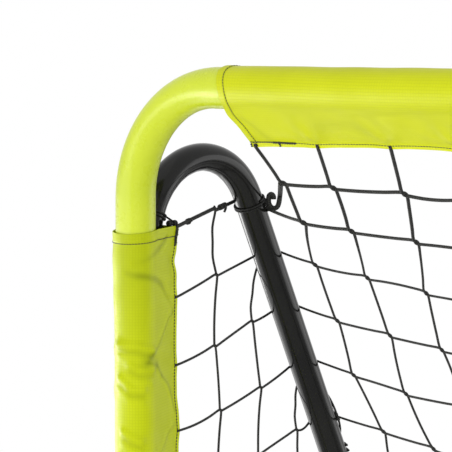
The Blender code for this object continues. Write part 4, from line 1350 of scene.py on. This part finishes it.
# A darker copy of the twine's colours for the windings and knots: painted shade where they lie tight and
# shadowed.
shaded_cord = twine_finish("shaded_cord", (0.006, 0.006, 0.006, 1), (0.013, 0.013, 0.012, 1), 2400.0)


def loops(start, way, first, second, turns, pitch):
    """Points of a winding round a tube of the rear frame."""
    made = []
    for step in range(round(turns * 24) + 1):
        turn = step * math.radians(15)
        reach = math.cos(turn) * first + math.sin(turn) * second
        made.append(start + way * pitch * step / 24 + (rear_radius + thin_cord + 0.0003) * reach)
    return made


for side_name, side in both_sides:
    inwards = np.array([-side, 0.0, 0.0])
    aside = np.array([-side * 0.735, 0.678, 0.0])
    upwards = np.array([0.0, 0.0, 1.0])
    # The knot and the thick end are laid out to the side and up, in millimetres from the knot's middle.
    knot_place = stay_point(0.0125, side) + aside * 0.0215
    wound = loops(stay_point(0.0065, side), along_stay, inwards, hang, 2.0, 0.0030)
    lumps = [curve_through(wound, 2)]
    for right, up, size in knot_lumps:
        centre = knot_place + (aside * right + upwards * up) / 1000
        lump = bead_knot(centre, along_stay + inwards * right / 9, size)
        lumps.append(curve_through(lump))
    lump_radii = [thin_cord] + [knot_twine] * len(knot_lumps)
    winding = twine_mesh(f"{side_name}_stay_winding", lumps, lump_radii, 10)
    finish_piece(winding, shaded_cord, 80)
    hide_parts(f"{side_name}_stay_tie")
    route = [knot_place + (aside * right + upwards * up) / 1000 for right, up in cord_bends]
    far_end = back_corner[side] - aside * 0.003
    route = curve_through([*route, (route[-1] + far_end) / 2, far_end], 5)
    end = twine_mesh(f"{side_name}_stay_cord", [route], [thick_cord], 12)
    finish_piece(end, black_twine, 80)

    along = np.array([0, math.sin(arch_climb), math.cos(arch_climb)])
    behind = np.array([0, math.cos(arch_climb), -math.sin(arch_climb)])
    middle = np.array([side * stay_x, leg_y + arch_radius, arch_z]) - behind * arch_radius
    wound = loops(middle - along * 0.0042, along, behind, inwards, 2.0, 0.0042)
    corner = np.array([side * post_x, post_y + post_tip - 0.004, sleeve_high + 0.0035])
    near_leg = corner + np.array([-side * 0.003, -0.013, 0.0005])
    turned = (wound[-1] + corner) / 2 + behind * 0.003
    route = curve_through([*wound, turned, corner, (corner + near_leg) / 2, near_leg], 2)
    tie = twine_mesh(f"{side_name}_sleeve_cord", [route], [thin_cord], 10)
    finish_piece(tie, shaded_cord, 80)
    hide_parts(f"{side_name}_sleeve_tie")
    lumps = [curve_through(bead_knot(place, near_leg - corner, 0.0046)) for place in (corner, near_leg)]
    knot = twine_mesh(f"{side_name}_sleeve_knot", lumps, [0.0015] * 2, 10)
    finish_piece(knot, shaded_cord, 80)


# Studio: a pale floor, a white surround and soft boxes above and in front. The three panels
# give no light to dull surfaces and only shine in the glossy paint. The camera stands at the
# front right and looks at the goal's left upper corner.
corner = Vector((-post_x, post_y, bar_z))
camera_data = bpy.data.cameras.new("camera")
camera_data.sensor_width = 36.0
camera_data.lens = 177.77
camera_data.clip_start = 0.05
camera_data.clip_end = 100.0
camera = bpy.data.objects.new("camera", camera_data)
bpy.context.scene.collection.objects.link(camera)
look_side = math.radians(42.69)
look_down = math.radians(4.71)
look_roll = math.radians(0.17)
level = math.cos(look_down)
forward = Vector((-math.sin(look_side) * level, math.cos(look_side) * level, -math.sin(look_down)))
across = Vector((math.cos(look_side), math.sin(look_side), 0))
upright = across.cross(forward)
tilted_across = across * math.cos(look_roll) + upright * math.sin(look_roll)
tilted_up = upright * math.cos(look_roll) - across * math.sin(look_roll)
camera_place = corner + Vector((1.9523, -1.9512, 0.0543))
camera_turn = Matrix((tilted_across, tilted_up, -forward)).transposed().to_4x4()
camera.matrix_world = Matrix.Translation(camera_place) @ camera_turn
bpy.context.scene.camera = camera

world = bpy.data.worlds.new("studio")
bpy.context.scene.world = world
world.use_nodes = True
sky = world.node_tree


def plainly_seen(tree):
    """1 for camera, glossy and transmission rays, which see the white surround, and 0 for the rest."""
    path = add_node(tree, "ShaderNodeLightPath").outputs
    mirrored = maths(tree, "MAXIMUM", path["Is Glossy Ray"], path["Is Transmission Ray"])
    return maths(tree, "MAXIMUM", path["Is Camera Ray"], mirrored)


dull_light = 0.76
feed(sky, sky.nodes["Background"], {
    "Color": (1, 1, 1, 1),
    "Strength": spread_value(sky, plainly_seen(sky), dull_light, 1.0),
})


def soft_light(name, place, target, size, power, lights=True, shines=True):
    """A soft box that faces a point; it lights dull surfaces, shines in glossy ones, or both."""
    data = bpy.data.lights.new(name, "AREA")
    data.shape = "RECTANGLE"
    data.size = size[0]
    data.size_y = size[1]
    data.energy = power
    lamp = bpy.data.objects.new(name, data)
    bpy.context.scene.collection.objects.link(lamp)
    lamp.location = place
    lamp.rotation_euler = (Vector(target) - Vector(place)).to_track_quat("-Z", "Y").to_euler()
    lamp.visible_camera = False
    lamp.visible_diffuse = lights
    lamp.visible_glossy = shines


soft_light("top_box", (-0.4, -1.2, 3.4), (0, 0, 0.8), (2.4, 2.4), 4)
soft_light("front_box", (-1.3, -3.4, 0.75), (-0.6, 0, 0.9), (2.8, 1.3), 26)
soft_light("fill_box", (1.4, -2.6, 0.5), (-0.6, 0, 1.0), (1.6, 0.9), 29, shines=False)
soft_light("left_panel", (-2.4, -0.8, 0.38), (-0.9, 0, 0.8), (2.2, 0.75), 43, lights=False)
soft_light("low_panel", (-1.85, -0.15, 0.06), (-1.6, -0.1, 1.2), (1.4, 1.3), 10, lights=False)
soft_light("right_panel", (1.2, 2.9, 1.0), (-0.6, 0, 0.9), (2.2, 1.9), 23, lights=False)

bpy.ops.object.select_all(action="DESELECT")
bpy.ops.mesh.primitive_circle_add(vertices=96, radius=3.2, fill_type="NGON", location=(0, 0, 0))
floor = bpy.context.object
floor.name = "floor"
floor_paint, floor_tree, floor_shader = new_material("floor_paint")
floor_place = object_place(floor_tree)
floor_cloud = noise(floor_tree, floor_place, 3.0)
floor_colour = mix_colours(floor_tree, floor_cloud, (0.80, 0.80, 0.80, 1), (0.84, 0.84, 0.84, 1))
feed(floor_tree, floor_shader, {"Base Color": floor_colour, "Roughness": 0.8})
from_middle = add_node(floor_tree, "ShaderNodeVectorMath", {"operation": "LENGTH"}, {0: floor_place})
fade = spread_value(floor_tree, from_middle.outputs["Value"], 0.0, 1.0, 1.4, 3.0)
white = add_node(floor_tree, "ShaderNodeEmission", None, {"Strength": 1.0})
blend = add_node(floor_tree, "ShaderNodeMixShader", None, {
    0: maths(floor_tree, "MULTIPLY", fade, plainly_seen(floor_tree)),
    1: floor_shader.outputs[0],
    2: white.outputs[0],
})
feed(floor_tree, floor_tree.nodes["Material Output"], {"Surface": blend.outputs[0]})
floor.data.materials.append(floor_paint)

bpy.context.scene.view_settings.view_transform = "Standard"

bpy.context.view_layer.update()
